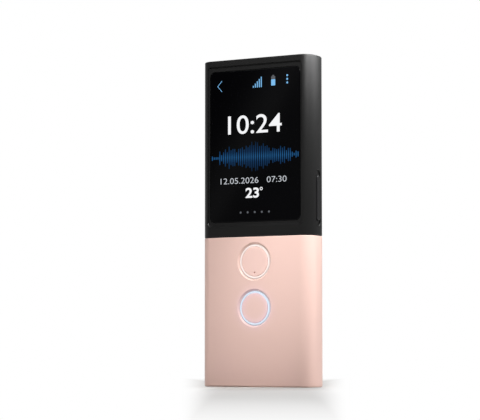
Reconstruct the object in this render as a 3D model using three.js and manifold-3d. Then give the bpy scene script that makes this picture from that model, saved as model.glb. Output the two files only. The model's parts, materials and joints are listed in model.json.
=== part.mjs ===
// Handheld voice translator: a two-tone bar with a display above two round talk buttons.
// Millimetres, +Z up. The display faces -Y, +X is the right side seen from the front,
// and the origin is the centre of the base that the part stands on.

import * as THREE from 'three';
import { mergeVertices } from 'three/addons/utils/BufferGeometryUtils.js';
import Module from 'manifold-3d';

const wasm = await Module();
wasm.setup();

// Clearances and facet counts

const fit = {
  hairline: 0.1,
  slip: 0.15,
  running: 0.3,
  overrun: 1,
};

const facets = {
  bodyArc: 14,
  edgeRound: 3,
  corner: 5,
  easing: 1,
  round: 28,
  small: 10,
  tiny: 6,
};

// Driving dimensions, grouped by the piece that carries them

const body = {
  width: 46.8,
  thickness: 13.3,
  height: 122,
  sideBulge: 3.3,
  wall: 1.3,
  edgeRound: 0.9,
  splitHeight: 55.4,
  splitChamfer: 0.22,
  seamSetback: 2.5,
  lipHeight: 2,
  lipRoot: 1.5,
  lipThickness: 0.8,
};

const display = {
  recessDepth: 0.45,
  recessBottomMargin: 3.9,
  recessTopMargin: 2.3,
  recessCorner: 2.5,
  glassSideMargin: 1,
  glassBottomMargin: 1.7,
  glassTopMargin: 2,
  glassCorner: 2,
  glassThickness: 0.8,
  adhesiveThickness: 0.15,
  bezelThickness: 0.6,
  panelSideMargin: 1.8,
  panelEndMargin: 2.35,
  panelCorner: 0.3,
  panelThickness: 1.4,
  backlightThickness: 1.35,
  flexWidth: 10,
  flexThickness: 0.2,
  flexDrop: 2.4,
  flexSetback: 0.2,
};

const frame = {
  thickness: 0.6,
  standoffHeight: 0.5,
  standoffRadius: 1.5,
  keyTabThickness: 0.4,
};

const mainBoard = {
  thickness: 0.8,
  sideClearance: 0.5,
  bottomGap: 1.1,
  topGap: 0.8,
  screwInset: 2,
  screwBottomRise: 2.4,
  screwTopDrop: 2,
};

const screw = {
  shankRadius: 0.7,
  headRadius: 1.25,
  headHeight: 0.5,
  length: 3.2,
  socketRadius: 0.45,
  socketDepth: 0.25,
  bossRadius: 1.5,
  boreSpare: 0.3,
};

const shield = {
  height: 21,
  depth: 1.7,
  sheet: 0.25,
  readerClearance: 1,
  sideClearance: 0.6,
  cameraClearance: 1.8,
  processorShare: 0.43,
  processorHeight: 1,
  memoryShare: 0.36,
  memoryHeight: 0.9,
  chipSpacing: 1.5,
};

const speaker = {
  cameraClearance: 3.15,
  holeSpanShare: 0.545,
  holesPerRow: [5, 7, 9, 11, 9, 7, 5],
  holeRadius: 0.75,
  edgeHoleShare: 0.55,
  meshMargin: 1.6,
  meshThickness: 0.2,
  boxMargin: 0.8,
  shieldClearance: 0.5,
  coneRadius: 7.6,
  coneRecess: 0.9,
  coneThickness: 0.3,
  dustCapRadius: 3,
};

const camera = {
  inset: 9,
  drop: 12,
  ringRadius: 4,
  ringWall: 0.9,
  lipWidth: 0.5,
  lipThickness: 0.35,
  ringSink: 0.06,
  seatDepth: 0.9,
  windowThickness: 0.4,
  barrelRadius: 2.9,
  baseSide: 8.4,
  barrelLength: 1.8,
  edgeChamfer: 0.2,
};

const flash = {
  cameraSpacing: 8.6,
  lensRadius: 1.65,
  lensSink: 0.1,
  flangeRadius: 2.2,
  flangeThickness: 0.4,
  emitterRadius: 1.1,
  emitterHeight: 0.7,
  postSide: 3.4,
};

const antenna = {
  flashClearance: 3.6,
  height: 9,
  thickness: 0.2,
  sideClearance: 1.7,
  drop: 8,
};

const talkButton = {
  splitClearance: 1.8,
  ringGap: 2.4,
  capRadius: 5.45,
  capRound: 0.2,
  flangeRadius: 6.2,
  flangeThickness: 0.5,
  plungerRadius: 1.4,
  plungerLength: 1.1,
  travel: 0.4,
  domeRadius: 2.5,
  domeHeight: 0.45,
  microphoneDrop: 3.85,
  microphoneHoleRadius: 0.28,
};

const lightRing = {
  innerRadius: 5.75,
  outerRadius: 6.45,
  flangeRadius: 7.4,
  flangeThickness: 0.5,
  dishRadius: 7.1,
  dishDepth: 0.25,
  legWidth: 2.4,
  legDepth: 0.75,
};

const led = {
  width: 2.2,
  height: 1.1,
  depth: 0.6,
};

const microphone = {
  width: 2.6,
  height: 1.7,
  depth: 0.9,
};

const retainer = {
  halfWidth: 5.4,
  endMargin: 4.6,
  corner: 1,
  thickness: 0.3,
};

const buttonBoard = {
  thickness: 0.8,
  sideClearance: 4.4,
  bottomGap: 0.5,
  topGap: 1,
  screwInset: 2.5,
  screwBottomRise: 16.2,
  screwTopDrop: 14.4,
};

const battery = {
  sideClearance: 3,
  bottomGap: 2.4,
  topGap: 2.9,
  corner: 2.2,
  padThickness: 0.3,
  padMargin: 5,
  leadInset: 8,
  leadWidth: 4,
  leadThickness: 0.6,
  leadSetback: 0.2,
  connectorWidth: 6,
  connectorHeight: 2.6,
  connectorDepth: 1.4,
};

const boardFlex = {
  inset: 10,
  width: 6,
  thickness: 0.15,
  overlap: 3.2,
};

const usb = {
  inset: 6.7,
  width: 8.94,
  height: 3.16,
  depth: 7.3,
  mouthSink: 0.3,
  sheet: 0.3,
  cavityDepth: 6.2,
  tongueWidth: 6.7,
  tongueThickness: 0.7,
  tongueLength: 4.6,
};

const lanyard = {
  offsetX: 7.2,
  height: 2.2,
  slotLength: 3.2,
  slotWidth: 1.7,
  barRadius: 0.45,
  barSetback: 0.9,
  shelfClearance: 0.85,
  shelfThickness: 0.8,
  shelfMargin: 0.8,
};

const sideKey = {
  proud: 0.15,
  width: 2.6,
  scoopWidth: 3.2,
  scoopDepth: 0.35,
  scoopMargin: 1.95,
  edgeRound: 0.25,
  flangeThickness: 0.6,
  flangeGap: 0.5,
  flangeSide: 0.8,
  flangeEnd: 1,
  nubRadius: 0.7,
  nubLength: 0.85,
  touchGap: 0.3,
  switchSide: 2.6,
  switchDepth: 1.3,
  switchNubRadius: 0.5,
  switchNubHeight: 0.25,
  boardThickness: 0.4,
  boardWidth: 3.2,
};

const volume = {
  length: 16.6,
  lipClearance: 2.6,
  nubSpacing: 11,
};

const power = {
  length: 8.4,
  heightShare: 0.67,
};

const sim = {
  screwClearance: 2.2,
  boardGap: 0.2,
  faceLength: 13,
  faceWidth: 2.2,
  faceDepth: 1.5,
  trayWidth: 10.4,
  trayThickness: 1,
  cardLength: 12.3,
  cardWidth: 8.8,
  cardThickness: 0.67,
  pocketFloor: 0.3,
  pocketInset: 1.2,
  readerWall: 0.3,
  readerInset: 0.2,
};

const snap = {
  width: 4,
  thickness: 0.9,
  reach: 1.6,
  setback: 0.8,
  lowerEndMargin: 12,
};

const palette = {
  blackShell: new THREE.MeshStandardMaterial({ color: 0x1c1c1c, roughness: 0.55, metalness: 0 }),
  pinkShell: new THREE.MeshStandardMaterial({ color: 0xe0bfb6, roughness: 0.5, metalness: 0.1 }),
  glass: new THREE.MeshStandardMaterial({ color: 0x050506, roughness: 0.08, metalness: 0 }),
  clear: new THREE.MeshStandardMaterial({ color: 0xe9eef6, roughness: 0.2, metalness: 0 }),
  tape: new THREE.MeshStandardMaterial({ color: 0x202020, roughness: 0.9, metalness: 0 }),
  sheetMetal: new THREE.MeshStandardMaterial({ color: 0xb9bcc0, roughness: 0.35, metalness: 0.9 }),
  circuit: new THREE.MeshStandardMaterial({ color: 0x1c4a32, roughness: 0.6, metalness: 0 }),
  flex: new THREE.MeshStandardMaterial({ color: 0xa05a1e, roughness: 0.5, metalness: 0 }),
  chip: new THREE.MeshStandardMaterial({ color: 0x24262a, roughness: 0.6, metalness: 0 }),
  cell: new THREE.MeshStandardMaterial({ color: 0x8d949b, roughness: 0.5, metalness: 0.4 }),
  gold: new THREE.MeshStandardMaterial({ color: 0xc9a24b, roughness: 0.3, metalness: 0.9 }),
  card: new THREE.MeshStandardMaterial({ color: 0xf2f2ee, roughness: 0.5, metalness: 0 }),
};

// Levels through the thickness (Y), worked out from the stack of pieces

const face = {
  front: -body.thickness / 2,
  back: body.thickness / 2,
};
face.innerFront = face.front + body.wall;
face.innerBack = face.back - body.wall;

const flatHalfWidth = body.width / 2 - body.sideBulge;

const upperLevel = { ledge: face.front + display.recessDepth };
upperLevel.glassBack = upperLevel.ledge + display.glassThickness;
upperLevel.bezelFront = upperLevel.glassBack + display.adhesiveThickness;
upperLevel.bezelBack = upperLevel.bezelFront + display.bezelThickness;
upperLevel.panelBack = upperLevel.glassBack + display.panelThickness;
upperLevel.backlightBack = upperLevel.panelBack + display.backlightThickness;
upperLevel.frameBack = upperLevel.backlightBack + frame.thickness;
upperLevel.boardFront = upperLevel.frameBack + frame.standoffHeight;
upperLevel.boardBack = upperLevel.boardFront + mainBoard.thickness;

const lowerLevel = { ringFront: face.front + lightRing.dishDepth };
lowerLevel.ringBack = face.innerFront + lightRing.flangeThickness;
lowerLevel.capFlange = lowerLevel.ringBack + fit.hairline;
lowerLevel.capBack = lowerLevel.capFlange + talkButton.flangeThickness;
lowerLevel.plungerTip = lowerLevel.capBack + talkButton.plungerLength;
lowerLevel.domeTop = lowerLevel.plungerTip + talkButton.travel + fit.hairline;
lowerLevel.boardFront = lowerLevel.domeTop + talkButton.domeHeight;
lowerLevel.boardBack = lowerLevel.boardFront + buttonBoard.thickness;
lowerLevel.batteryFront = lowerLevel.boardBack + screw.headHeight + fit.slip;
lowerLevel.batteryBack = face.innerBack - battery.padThickness;

// Levels across the width (X) of a side key, from the key's face inwards

const keyLevel = { outer: body.width / 2 + sideKey.proud };
keyLevel.flangeOuter = body.width / 2 - body.wall - sideKey.flangeGap;
keyLevel.flangeInner = keyLevel.flangeOuter - sideKey.flangeThickness;
keyLevel.nubTip = keyLevel.flangeInner - sideKey.nubLength;
keyLevel.switchNub = keyLevel.nubTip - sideKey.touchGap;
keyLevel.switchFace = keyLevel.switchNub - sideKey.switchNubHeight;
keyLevel.boardOuter = keyLevel.switchFace - sideKey.switchDepth;
keyLevel.boardInner = keyLevel.boardOuter - sideKey.boardThickness;
keyLevel.tabInner = keyLevel.boardInner - frame.keyTabThickness;

// Half widths of the display and the boards

const glassHalfWidth = flatHalfWidth - display.glassSideMargin;
const boardHalfWidth = keyLevel.tabInner - mainBoard.sideClearance;
const lowerBoardHalfWidth = flatHalfWidth - buttonBoard.sideClearance;
const batteryHalfWidth = flatHalfWidth - battery.sideClearance;

// Places across the width (X) of what is fixed near the boards' edges

const leadX = boardHalfWidth - battery.leadInset;
const cameraX = boardHalfWidth - camera.inset;
const flashX = cameraX - flash.cameraSpacing;
const boardFlexX = boardFlex.inset - boardHalfWidth;
const usbX = usb.inset - lowerBoardHalfWidth;

// Heights (Z) of the display opening and the boards

const recess = {
  low: body.splitHeight + display.recessBottomMargin,
  high: body.height - display.recessTopMargin,
};
const glass = {
  low: recess.low + display.glassBottomMargin,
  high: recess.high - display.glassTopMargin,
};
const panel = {
  low: glass.low + display.panelEndMargin,
  high: glass.high - display.panelEndMargin,
  halfWidth: glassHalfWidth - display.panelSideMargin,
};
const lipTop = body.splitHeight + body.lipHeight;
const board = {
  low: lipTop + mainBoard.bottomGap,
  high: body.height - body.wall - mainBoard.topGap,
};
const lowerBoard = {
  low: body.wall + buttonBoard.bottomGap,
  high: body.splitHeight - buttonBoard.topGap,
};
const cell = {
  low: usb.mouthSink + usb.depth + battery.bottomGap,
  high: body.splitHeight - battery.topGap,
};

// Heights (Z) of the buttons, keys, camera, speaker and SIM tray

const talkHeight = { upper: body.splitHeight - talkButton.splitClearance - lightRing.flangeRadius };
talkHeight.lower = talkHeight.upper - 2 * lightRing.flangeRadius - talkButton.ringGap;

const cavityTop = body.height - body.wall;
const cameraHeight = body.height - camera.drop;
const cameraBaseLow = cameraHeight - camera.baseSide / 2;
const screwHeight = {
  low: board.low + mainBoard.screwBottomRise,
  high: board.high - mainBoard.screwTopDrop,
};

const speakerRows = speaker.holesPerRow.length;
const speakerColumns = Math.max(...speaker.holesPerRow);
const holeSpan = speaker.holeSpanShare * body.width;
const holePitch = holeSpan / (speakerColumns - 1);
const speakerMeshSize = {
  width: holeSpan + 2 * speaker.meshMargin,
  height: (speakerRows - 1) * holePitch + 2 * speaker.meshMargin,
};
const speakerHeight = cameraBaseLow - speaker.cameraClearance
  - speaker.boxMargin - speakerMeshSize.height / 2;

const keyEnd = sideKey.flangeEnd;
const volumeHeight = lipTop + volume.lipClearance + keyEnd + volume.length / 2;
const powerHeight = body.splitHeight + power.heightShare * (body.height - body.splitHeight);
const simHeight = screwHeight.low + screw.headRadius + sim.screwClearance
  + sim.readerWall + fit.slip + sim.trayWidth / 2;

// The SIM tray's middle plane (Y) lies just behind the main board, and its levels run inwards (X)
const trayY = upperLevel.boardBack + sim.boardGap + sim.trayThickness / 2;
const trayLevel = { outer: -body.width / 2 };
trayLevel.faceInner = trayLevel.outer + sim.faceDepth;
trayLevel.cardOuter = trayLevel.faceInner + sim.pocketInset;
trayLevel.cardInner = trayLevel.cardOuter + sim.cardLength;
trayLevel.tip = trayLevel.cardInner + sim.pocketInset;
trayLevel.readerEnd = trayLevel.tip + fit.running;

// Solids from three.js geometry

function signedVolume(positions, triangles) {
  let total = 0;
  for (let i = 0; i < triangles.length; i += 3) {
    const a = new THREE.Vector3().fromArray(positions, triangles[i] * 3);
    const b = new THREE.Vector3().fromArray(positions, triangles[i + 1] * 3);
    const c = new THREE.Vector3().fromArray(positions, triangles[i + 2] * 3);
    total += a.dot(b.cross(c));
  }
  return total;
}

function toSolid(geometry) {
  const bare = geometry.clone();
  bare.deleteAttribute('normal');
  bare.deleteAttribute('uv');
  const merged = mergeVertices(bare);
  const vertProperties = new Float32Array(merged.attributes.position.array);
  const triVerts = new Uint32Array(merged.index.array);
  if (signedVolume(vertProperties, triVerts) < 0) triVerts.reverse();
  return new wasm.Manifold(new wasm.Mesh({ numProp: 3, vertProperties, triVerts }));
}

function toGeometry(solid) {
  const mesh = solid.getMesh();
  const geometry = new THREE.BufferGeometry();
  geometry.setAttribute('position', new THREE.BufferAttribute(mesh.vertProperties, 3));
  geometry.setIndex(new THREE.BufferAttribute(mesh.triVerts, 1));
  geometry.computeVertexNormals();
  return geometry;
}

function piece(name, solid, material, x = 0, y = 0, z = 0) {
  const mesh = new THREE.Mesh(toGeometry(solid), material);
  mesh.name = name;
  mesh.position.set(x, y, z);
  return mesh;
}

function join(first, ...others) {
  return others.reduce((sum, other) => sum.add(other), first);
}

function cut(first, ...others) {
  return others.reduce((rest, other) => rest.subtract(other), first);
}

function moved(solid, x, y, z) {
  return solid.translate([x, y, z]);
}

// A block between two corners, each given as [x, y, z]
function block(low, high) {
  const size = high.map((value, axis) => value - low[axis]);
  const geometry = new THREE.BoxGeometry(...size);
  geometry.translate(...low.map((value, axis) => value + size[axis] / 2));
  return toSolid(geometry);
}

// Local x, y and z of an extruded outline, for each direction of extrusion
const extrusionBasis = {
  X: [new THREE.Vector3(0, 1, 0), new THREE.Vector3(0, 0, 1), new THREE.Vector3(1, 0, 0)],
  Y: [new THREE.Vector3(1, 0, 0), new THREE.Vector3(0, 0, 1), new THREE.Vector3(0, -1, 0)],
  Z: [new THREE.Vector3(1, 0, 0), new THREE.Vector3(0, 1, 0), new THREE.Vector3(0, 0, 1)],
};

// An outline carried along one axis from one level to another, with its end edges eased
function extrude(axis, outline, from, to, easing = 0) {
  const geometry = new THREE.ExtrudeGeometry(outline, {
    depth: to - from - 2 * easing,
    curveSegments: facets.corner,
    bevelEnabled: easing > 0,
    bevelThickness: easing,
    bevelSize: easing,
    bevelOffset: -easing,
    bevelSegments: facets.easing,
  });
  const start = axis === 'Y' ? -to : from;
  geometry.translate(0, 0, start + easing);
  geometry.applyMatrix4(new THREE.Matrix4().makeBasis(...extrusionBasis[axis]));
  return toSolid(geometry);
}

// A round piece on the Y axis, from its half section as [radius, y] points
function turned(section, sides = facets.round) {
  const points = section.map(([radius, y]) => new THREE.Vector2(radius, y));
  return toSolid(new THREE.LatheGeometry(points, sides));
}

function disc(radius, from, to, sides = facets.round) {
  return turned([[0, from], [radius, from], [radius, to], [0, to]], sides);
}

function roundedRectangle(width, height, radius, centreX = 0, centreY = 0) {
  const left = centreX - width / 2;
  const right = centreX + width / 2;
  const bottom = centreY - height / 2;
  const top = centreY + height / 2;
  const outline = new THREE.Shape();
  outline.moveTo(left + radius, bottom);
  outline.lineTo(right - radius, bottom);
  outline.absarc(right - radius, bottom + radius, radius, -Math.PI / 2, 0);
  outline.lineTo(right, top - radius);
  outline.absarc(right - radius, top - radius, radius, 0, Math.PI / 2);
  outline.lineTo(left + radius, top);
  outline.absarc(left + radius, top - radius, radius, Math.PI / 2, Math.PI);
  outline.lineTo(left, bottom + radius);
  outline.absarc(left + radius, bottom + radius, radius, Math.PI, 1.5 * Math.PI);
  return outline;
}

// A slot outline with full round ends, along its longer side
function pill(width, height, centreX = 0, centreY = 0) {
  const radius = Math.min(width, height) / 2;
  const run = Math.max(width, height) / 2 - radius;
  const upright = height > width;
  const turn = upright ? 0 : -Math.PI / 2;
  const shiftX = upright ? 0 : run;
  const shiftY = upright ? run : 0;
  const outline = new THREE.Shape();
  outline.absarc(centreX + shiftX, centreY + shiftY, radius, turn, turn + Math.PI);
  outline.absarc(centreX - shiftX, centreY - shiftY, radius, turn + Math.PI, turn + 2 * Math.PI);
  outline.closePath();
  return outline;
}

// Body blocks: the bar's outline has flat faces and half-elliptical sides

function barOutline(inset) {
  const halfDepth = body.thickness / 2 - inset;
  const bulge = body.sideBulge - inset;
  const points = [];
  for (const side of [1, -1]) {
    for (let step = 0; step <= facets.bodyArc; step += 1) {
      const angle = Math.PI * (step / facets.bodyArc - 0.5);
      const x = flatHalfWidth + bulge * Math.cos(angle);
      points.push(new THREE.Vector2(side * x, side * halfDepth * Math.sin(angle)));
    }
  }
  return points;
}

// Insets of the rings that round off one end of a block, from the end inwards
function endRings(end, direction, radius, steps) {
  if (radius === 0) return [{ z: end, inset: 0 }];
  const rings = [];
  for (let step = 0; step <= steps; step += 1) {
    const angle = (Math.PI / 2) * (step / steps);
    const rise = radius * (1 - Math.cos(angle));
    rings.push({ z: end + direction * rise, inset: radius * (1 - Math.sin(angle)) });
  }
  return rings;
}

function barBlock(low, high, inset, lowRound = 0, highRound = 0, lowSteps = 1, highSteps = 1) {
  const rings = [
    ...endRings(low, 1, lowRound, lowSteps),
    ...endRings(high, -1, highRound, highSteps).reverse(),
  ];
  const outline = barOutline(inset);
  const count = outline.length;
  const positions = [];
  for (const ring of rings) {
    for (const point of barOutline(inset + ring.inset)) positions.push(point.x, point.y, ring.z);
  }
  const triangles = [];
  for (let level = 0; level < rings.length - 1; level += 1) {
    for (let i = 0; i < count; i += 1) {
      const a = level * count + i;
      const b = level * count + ((i + 1) % count);
      triangles.push(a, b, b + count, a, b + count, a + count);
    }
  }
  const last = (rings.length - 1) * count;
  for (const [a, b, c] of THREE.ShapeUtils.triangulateShape(outline, [])) {
    triangles.push(c, b, a, last + a, last + b, last + c);
  }
  const geometry = new THREE.BufferGeometry();
  geometry.setAttribute('position', new THREE.Float32BufferAttribute(positions, 3));
  geometry.setIndex(triangles);
  return toSolid(geometry);
}

// Half spaces large enough for any cut of the body
const reach = body.width + body.thickness + body.height;

function frontOf(y) {
  return block([-reach, -reach, -reach], [reach, y, reach]);
}

function behind(y) {
  return block([-reach, y, -reach], [reach, reach, reach]);
}

// Screws and their bosses, on the Y axis, with the head's seat at y = 0

function screwSolid() {
  const tip = -screw.length;
  const head = screw.headHeight;
  const solid = turned([
    [0, tip],
    [screw.shankRadius, tip],
    [screw.shankRadius, 0],
    [screw.headRadius, 0],
    [screw.headRadius, head],
    [0, head],
  ], facets.small);
  return cut(solid, disc(screw.socketRadius, head - screw.socketDepth, head + fit.overrun, facets.small));
}

function boss(x, z, from, to) {
  return moved(disc(screw.bossRadius, from - fit.hairline, to, facets.small), x, 0, z);
}

function bossBore(x, z, to, seat) {
  const tip = seat - screw.length - screw.boreSpare;
  return moved(disc(screw.shankRadius + fit.hairline, tip, to + fit.overrun, facets.small), x, 0, z);
}

function boardHole(x, z, from, to) {
  return moved(
    disc(screw.shankRadius + fit.hairline, from - fit.overrun, to + fit.overrun, facets.small), x, 0, z);
}

function mainScrewPlaces() {
  const x = boardHalfWidth - mainBoard.screwInset;
  return [[x, screwHeight.low], [-x, screwHeight.low], [x, screwHeight.high], [-x, screwHeight.high]];
}

function buttonScrewPlaces() {
  const x = lowerBoardHalfWidth - buttonBoard.screwInset;
  const low = lowerBoard.low + buttonBoard.screwBottomRise;
  const high = lowerBoard.high - buttonBoard.screwTopDrop;
  return [[x, low], [-x, low], [x, high], [-x, high]];
}

// Shells

function snapTongue(side, z) {
  const outer = flatHalfWidth + body.sideBulge - body.wall - snap.setback;
  const edges = [side * outer, side * (outer - snap.thickness)].sort((a, b) => a - b);
  return block(
    [edges[0], body.seamSetback - snap.reach, z - snap.width / 2],
    [edges[1], face.innerBack, z + snap.width / 2]);
}

// The tongues lie midway in the free stretches beside the keys and the SIM tray
function upperSnaps() {
  const simTop = simHeight + sim.faceLength / 2;
  const powerReach = power.length / 2 + keyEnd;
  const volumeTop = volumeHeight + volume.length / 2 + keyEnd;
  const stretch = cavityTop - volumeTop;
  return [
    snapTongue(-1, (simTop + powerHeight - powerReach) / 2),
    snapTongue(-1, (powerHeight + powerReach + cavityTop) / 2),
    snapTongue(1, volumeTop + stretch / 3),
    snapTongue(1, volumeTop + 2 * stretch / 3),
  ];
}

function lowerSnaps() {
  const heights = [snap.lowerEndMargin, body.splitHeight - snap.lowerEndMargin];
  return heights.flatMap((z) => [snapTongue(1, z), snapTongue(-1, z)]);
}

function sideKeyOpening(side, length, z) {
  const surface = body.width / 2;
  const scoop = extrude('X', pill(sideKey.scoopWidth, length + 2 * sideKey.scoopMargin, 0, z),
    surface - sideKey.scoopDepth, surface + fit.overrun);
  const slot = extrude('X', pill(sideKey.width + 2 * fit.slip, length + 2 * fit.slip, 0, z),
    surface - 2 * body.wall, surface + fit.overrun);
  const opening = join(scoop, slot);
  return side > 0 ? opening : opening.mirror([1, 0, 0]);
}

function simOpening() {
  const outline = pill(sim.faceWidth + 2 * fit.slip, sim.faceLength + 2 * fit.slip, trayY, simHeight);
  return extrude('X', outline, -body.width / 2 - fit.overrun, -body.width / 2 + 2 * body.wall);
}

function upperShell() {
  const outer = barBlock(body.splitHeight, body.height, 0,
    body.splitChamfer, body.edgeRound, 1, facets.edgeRound);
  const cavity = barBlock(body.splitHeight - fit.overrun, body.height - body.wall, body.wall);
  const displayWall = outer
    .intersect(frontOf(upperLevel.bezelBack))
    .subtract(block([-reach, -reach, -reach], [reach, reach, lipTop + fit.running]));
  return join(cut(outer, cavity), displayWall);
}

function upperFrontHousing() {
  const recessCut = extrude('Y',
    roundedRectangle(2 * flatHalfWidth, recess.high - recess.low, display.recessCorner,
      0, (recess.high + recess.low) / 2),
    face.front - fit.overrun, upperLevel.ledge);
  const pocket = extrude('Y', glassOutline(fit.slip), face.front, upperLevel.bezelFront);
  const window = extrude('Y', panelOutline(fit.slip), face.front, 0);
  const bosses = mainScrewPlaces().map(([x, z]) => (
    boss(x, z, upperLevel.bezelBack, upperLevel.backlightBack)));
  const bores = mainScrewPlaces().map(([x, z]) => (
    bossBore(x, z, upperLevel.backlightBack, upperLevel.boardBack)));
  const shell = join(upperShell().intersect(frontOf(body.seamSetback)), ...bosses);
  return cut(shell, recessCut, pocket, window, ...bores,
    sideKeyOpening(1, volume.length, volumeHeight),
    sideKeyOpening(-1, power.length, powerHeight),
    simOpening());
}

function speakerHoles() {
  const holes = [];
  speaker.holesPerRow.forEach((count, row) => {
    const z = (row - (speakerRows - 1) / 2) * holePitch;
    for (let i = 0; i < count; i += 1) {
      const x = (i - (count - 1) / 2) * holePitch;
      const share = 1 - (1 - speaker.edgeHoleShare) * (2 * Math.hypot(x, z) / holeSpan);
      const hole = disc(speaker.holeRadius * share, face.innerBack - fit.overrun,
        face.back + fit.overrun, facets.tiny);
      holes.push(moved(hole, x, 0, speakerHeight + z));
    }
  });
  return holes;
}

function upperBackCover() {
  const seat = face.back - camera.seatDepth;
  const cameraHole = moved(turned([
    [0, face.innerBack - fit.overrun],
    [camera.barrelRadius + fit.slip, face.innerBack - fit.overrun],
    [camera.barrelRadius + fit.slip, seat],
    [camera.ringRadius + fit.hairline, seat],
    [camera.ringRadius + fit.hairline, face.back + fit.overrun],
    [0, face.back + fit.overrun],
  ]), cameraX, 0, cameraHeight);
  const flashHole = moved(
    disc(flash.lensRadius + fit.hairline, face.innerBack - fit.overrun, face.back + fit.overrun),
    flashX, 0, cameraHeight);
  const shell = upperShell().intersect(behind(body.seamSetback));
  const cover = join(shell, ...upperSnaps());
  return cut(cover, cameraHole, flashHole, ...speakerHoles());
}

// The lip rises from the lower half into the upper half and lines the two up
function splitLip() {
  const outer = body.wall + fit.slip;
  const inner = outer + body.lipThickness;
  const rootLow = body.splitHeight - body.lipRoot;
  const root = barBlock(rootLow, body.splitHeight, body.wall - fit.slip);
  const tongue = barBlock(rootLow, lipTop, outer);
  const hollow = barBlock(rootLow - fit.overrun, lipTop + fit.overrun, inner);
  return cut(join(root, tongue), hollow);
}

function lowerShell() {
  const outer = barBlock(0, body.splitHeight, 0,
    body.edgeRound, body.splitChamfer, facets.edgeRound, 1);
  const cavity = barBlock(body.wall, body.splitHeight + fit.overrun, body.wall);
  return join(cut(outer, cavity), splitLip());
}

function ringOpening(z) {
  const hole = lightRing.outerRadius + fit.hairline;
  return moved(turned([
    [0, face.front - fit.overrun],
    [lightRing.dishRadius, face.front - fit.overrun],
    [lightRing.dishRadius, face.front],
    [hole, lowerLevel.ringFront],
    [hole, face.innerFront + fit.overrun],
    [0, face.innerFront + fit.overrun],
  ]), 0, 0, z);
}

function usbCentreY() {
  return lowerLevel.boardBack + usb.height / 2;
}

function usbSlot() {
  return extrude('Z',
    pill(usb.width + 2 * fit.slip, usb.height + 2 * fit.slip, usbX, usbCentreY()),
    -fit.overrun, body.wall + fit.overrun);
}

function lowerFrontHousing() {
  const bosses = buttonScrewPlaces().map(([x, z]) => (
    boss(x, z, face.innerFront, lowerLevel.boardFront)));
  const bores = buttonScrewPlaces().map(([x, z]) => (
    bossBore(x, z, lowerLevel.boardFront, lowerLevel.boardBack)));
  const shell = join(lowerShell().intersect(frontOf(body.seamSetback)), ...bosses);
  return cut(shell, ...bores, usbSlot(), ringOpening(talkHeight.upper), ringOpening(talkHeight.lower));
}

function lanyardShelf() {
  const low = lanyard.height + lanyard.slotWidth / 2 + lanyard.shelfClearance;
  const half = lanyard.slotLength / 2 + lanyard.shelfMargin;
  const depth = lanyard.barSetback + lanyard.barRadius + lanyard.shelfMargin;
  return block(
    [lanyard.offsetX - half, face.innerBack - depth, low],
    [lanyard.offsetX + half, face.innerBack + fit.slip, low + lanyard.shelfThickness]);
}

function lowerBackCover() {
  const slot = extrude('Y',
    pill(lanyard.slotLength, lanyard.slotWidth, lanyard.offsetX, lanyard.height),
    face.innerBack - fit.overrun, face.back + fit.overrun);
  const shell = lowerShell().intersect(behind(body.seamSetback));
  return cut(join(shell, lanyardShelf(), ...lowerSnaps()), slot, usbSlot());
}

// Display stack

function glassOutline(gap = 0) {
  return roundedRectangle(2 * (glassHalfWidth + gap), glass.high - glass.low + 2 * gap,
    display.glassCorner + gap, 0, (glass.high + glass.low) / 2);
}

function panelOutline(gap = 0) {
  return roundedRectangle(2 * (panel.halfWidth + gap), panel.high - panel.low + 2 * gap,
    display.panelCorner + gap, 0, (panel.high + panel.low) / 2);
}

function displayAdhesive() {
  const tape = extrude('Y', glassOutline(), upperLevel.glassBack, upperLevel.bezelFront);
  return cut(tape, extrude('Y', panelOutline(fit.slip), face.front, 0));
}

function displayFlex() {
  const front = upperLevel.bezelBack + display.flexSetback;
  const low = panel.low - display.flexDrop;
  const half = display.flexWidth / 2;
  const fall = block([-half, front, low], [half, front + display.flexThickness, panel.low]);
  const run = block([-half, front, low], [half, upperLevel.boardFront, low + display.flexThickness]);
  return join(fall, run);
}

function midFrame() {
  const plate = block([-keyLevel.boardInner, upperLevel.backlightBack, board.low],
    [keyLevel.boardInner, upperLevel.frameBack, board.high]);
  const standoffs = mainScrewPlaces().map(([x, z]) => moved(
    disc(frame.standoffRadius, upperLevel.frameBack - fit.slip, upperLevel.boardFront, facets.small),
    x, 0, z));
  const holes = mainScrewPlaces().map(([x, z]) => (
    boardHole(x, z, upperLevel.backlightBack, upperLevel.boardFront)));
  const flexLow = panel.low - display.flexDrop - fit.running;
  const flexSlot = block(
    [-display.flexWidth / 2 - fit.running, upperLevel.backlightBack - fit.overrun, flexLow],
    [display.flexWidth / 2 + fit.running, upperLevel.frameBack + fit.overrun,
      flexLow + display.flexThickness + 2 * fit.running]);
  const tabs = [keyTab(1, volume.length, volumeHeight), keyTab(-1, power.length, powerHeight)];
  return cut(join(plate, ...standoffs, ...tabs), ...holes, flexSlot);
}

// Side keys, their switches and small boards, drawn for the right side

function keyTab(side, length, z) {
  const half = length / 2 + keyEnd;
  const tab = block([keyLevel.tabInner, upperLevel.frameBack - fit.slip, z - half],
    [keyLevel.boardInner, sideKey.boardWidth / 2, z + half]);
  return side > 0 ? tab : leftSide(tab);
}

function sideKeyCap(length, nubHeights) {
  const cap = extrude('X', pill(sideKey.width, length), keyLevel.flangeInner, keyLevel.outer,
    sideKey.edgeRound);
  const flange = extrude('X',
    pill(sideKey.width + 2 * sideKey.flangeSide, length + 2 * keyEnd),
    keyLevel.flangeInner, keyLevel.flangeOuter);
  const nubs = nubHeights.map((z) => extrude('X',
    pill(2 * sideKey.nubRadius, 2 * sideKey.nubRadius, 0, z),
    keyLevel.nubTip, keyLevel.flangeInner + fit.slip));
  return join(cap, flange, ...nubs);
}

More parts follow.
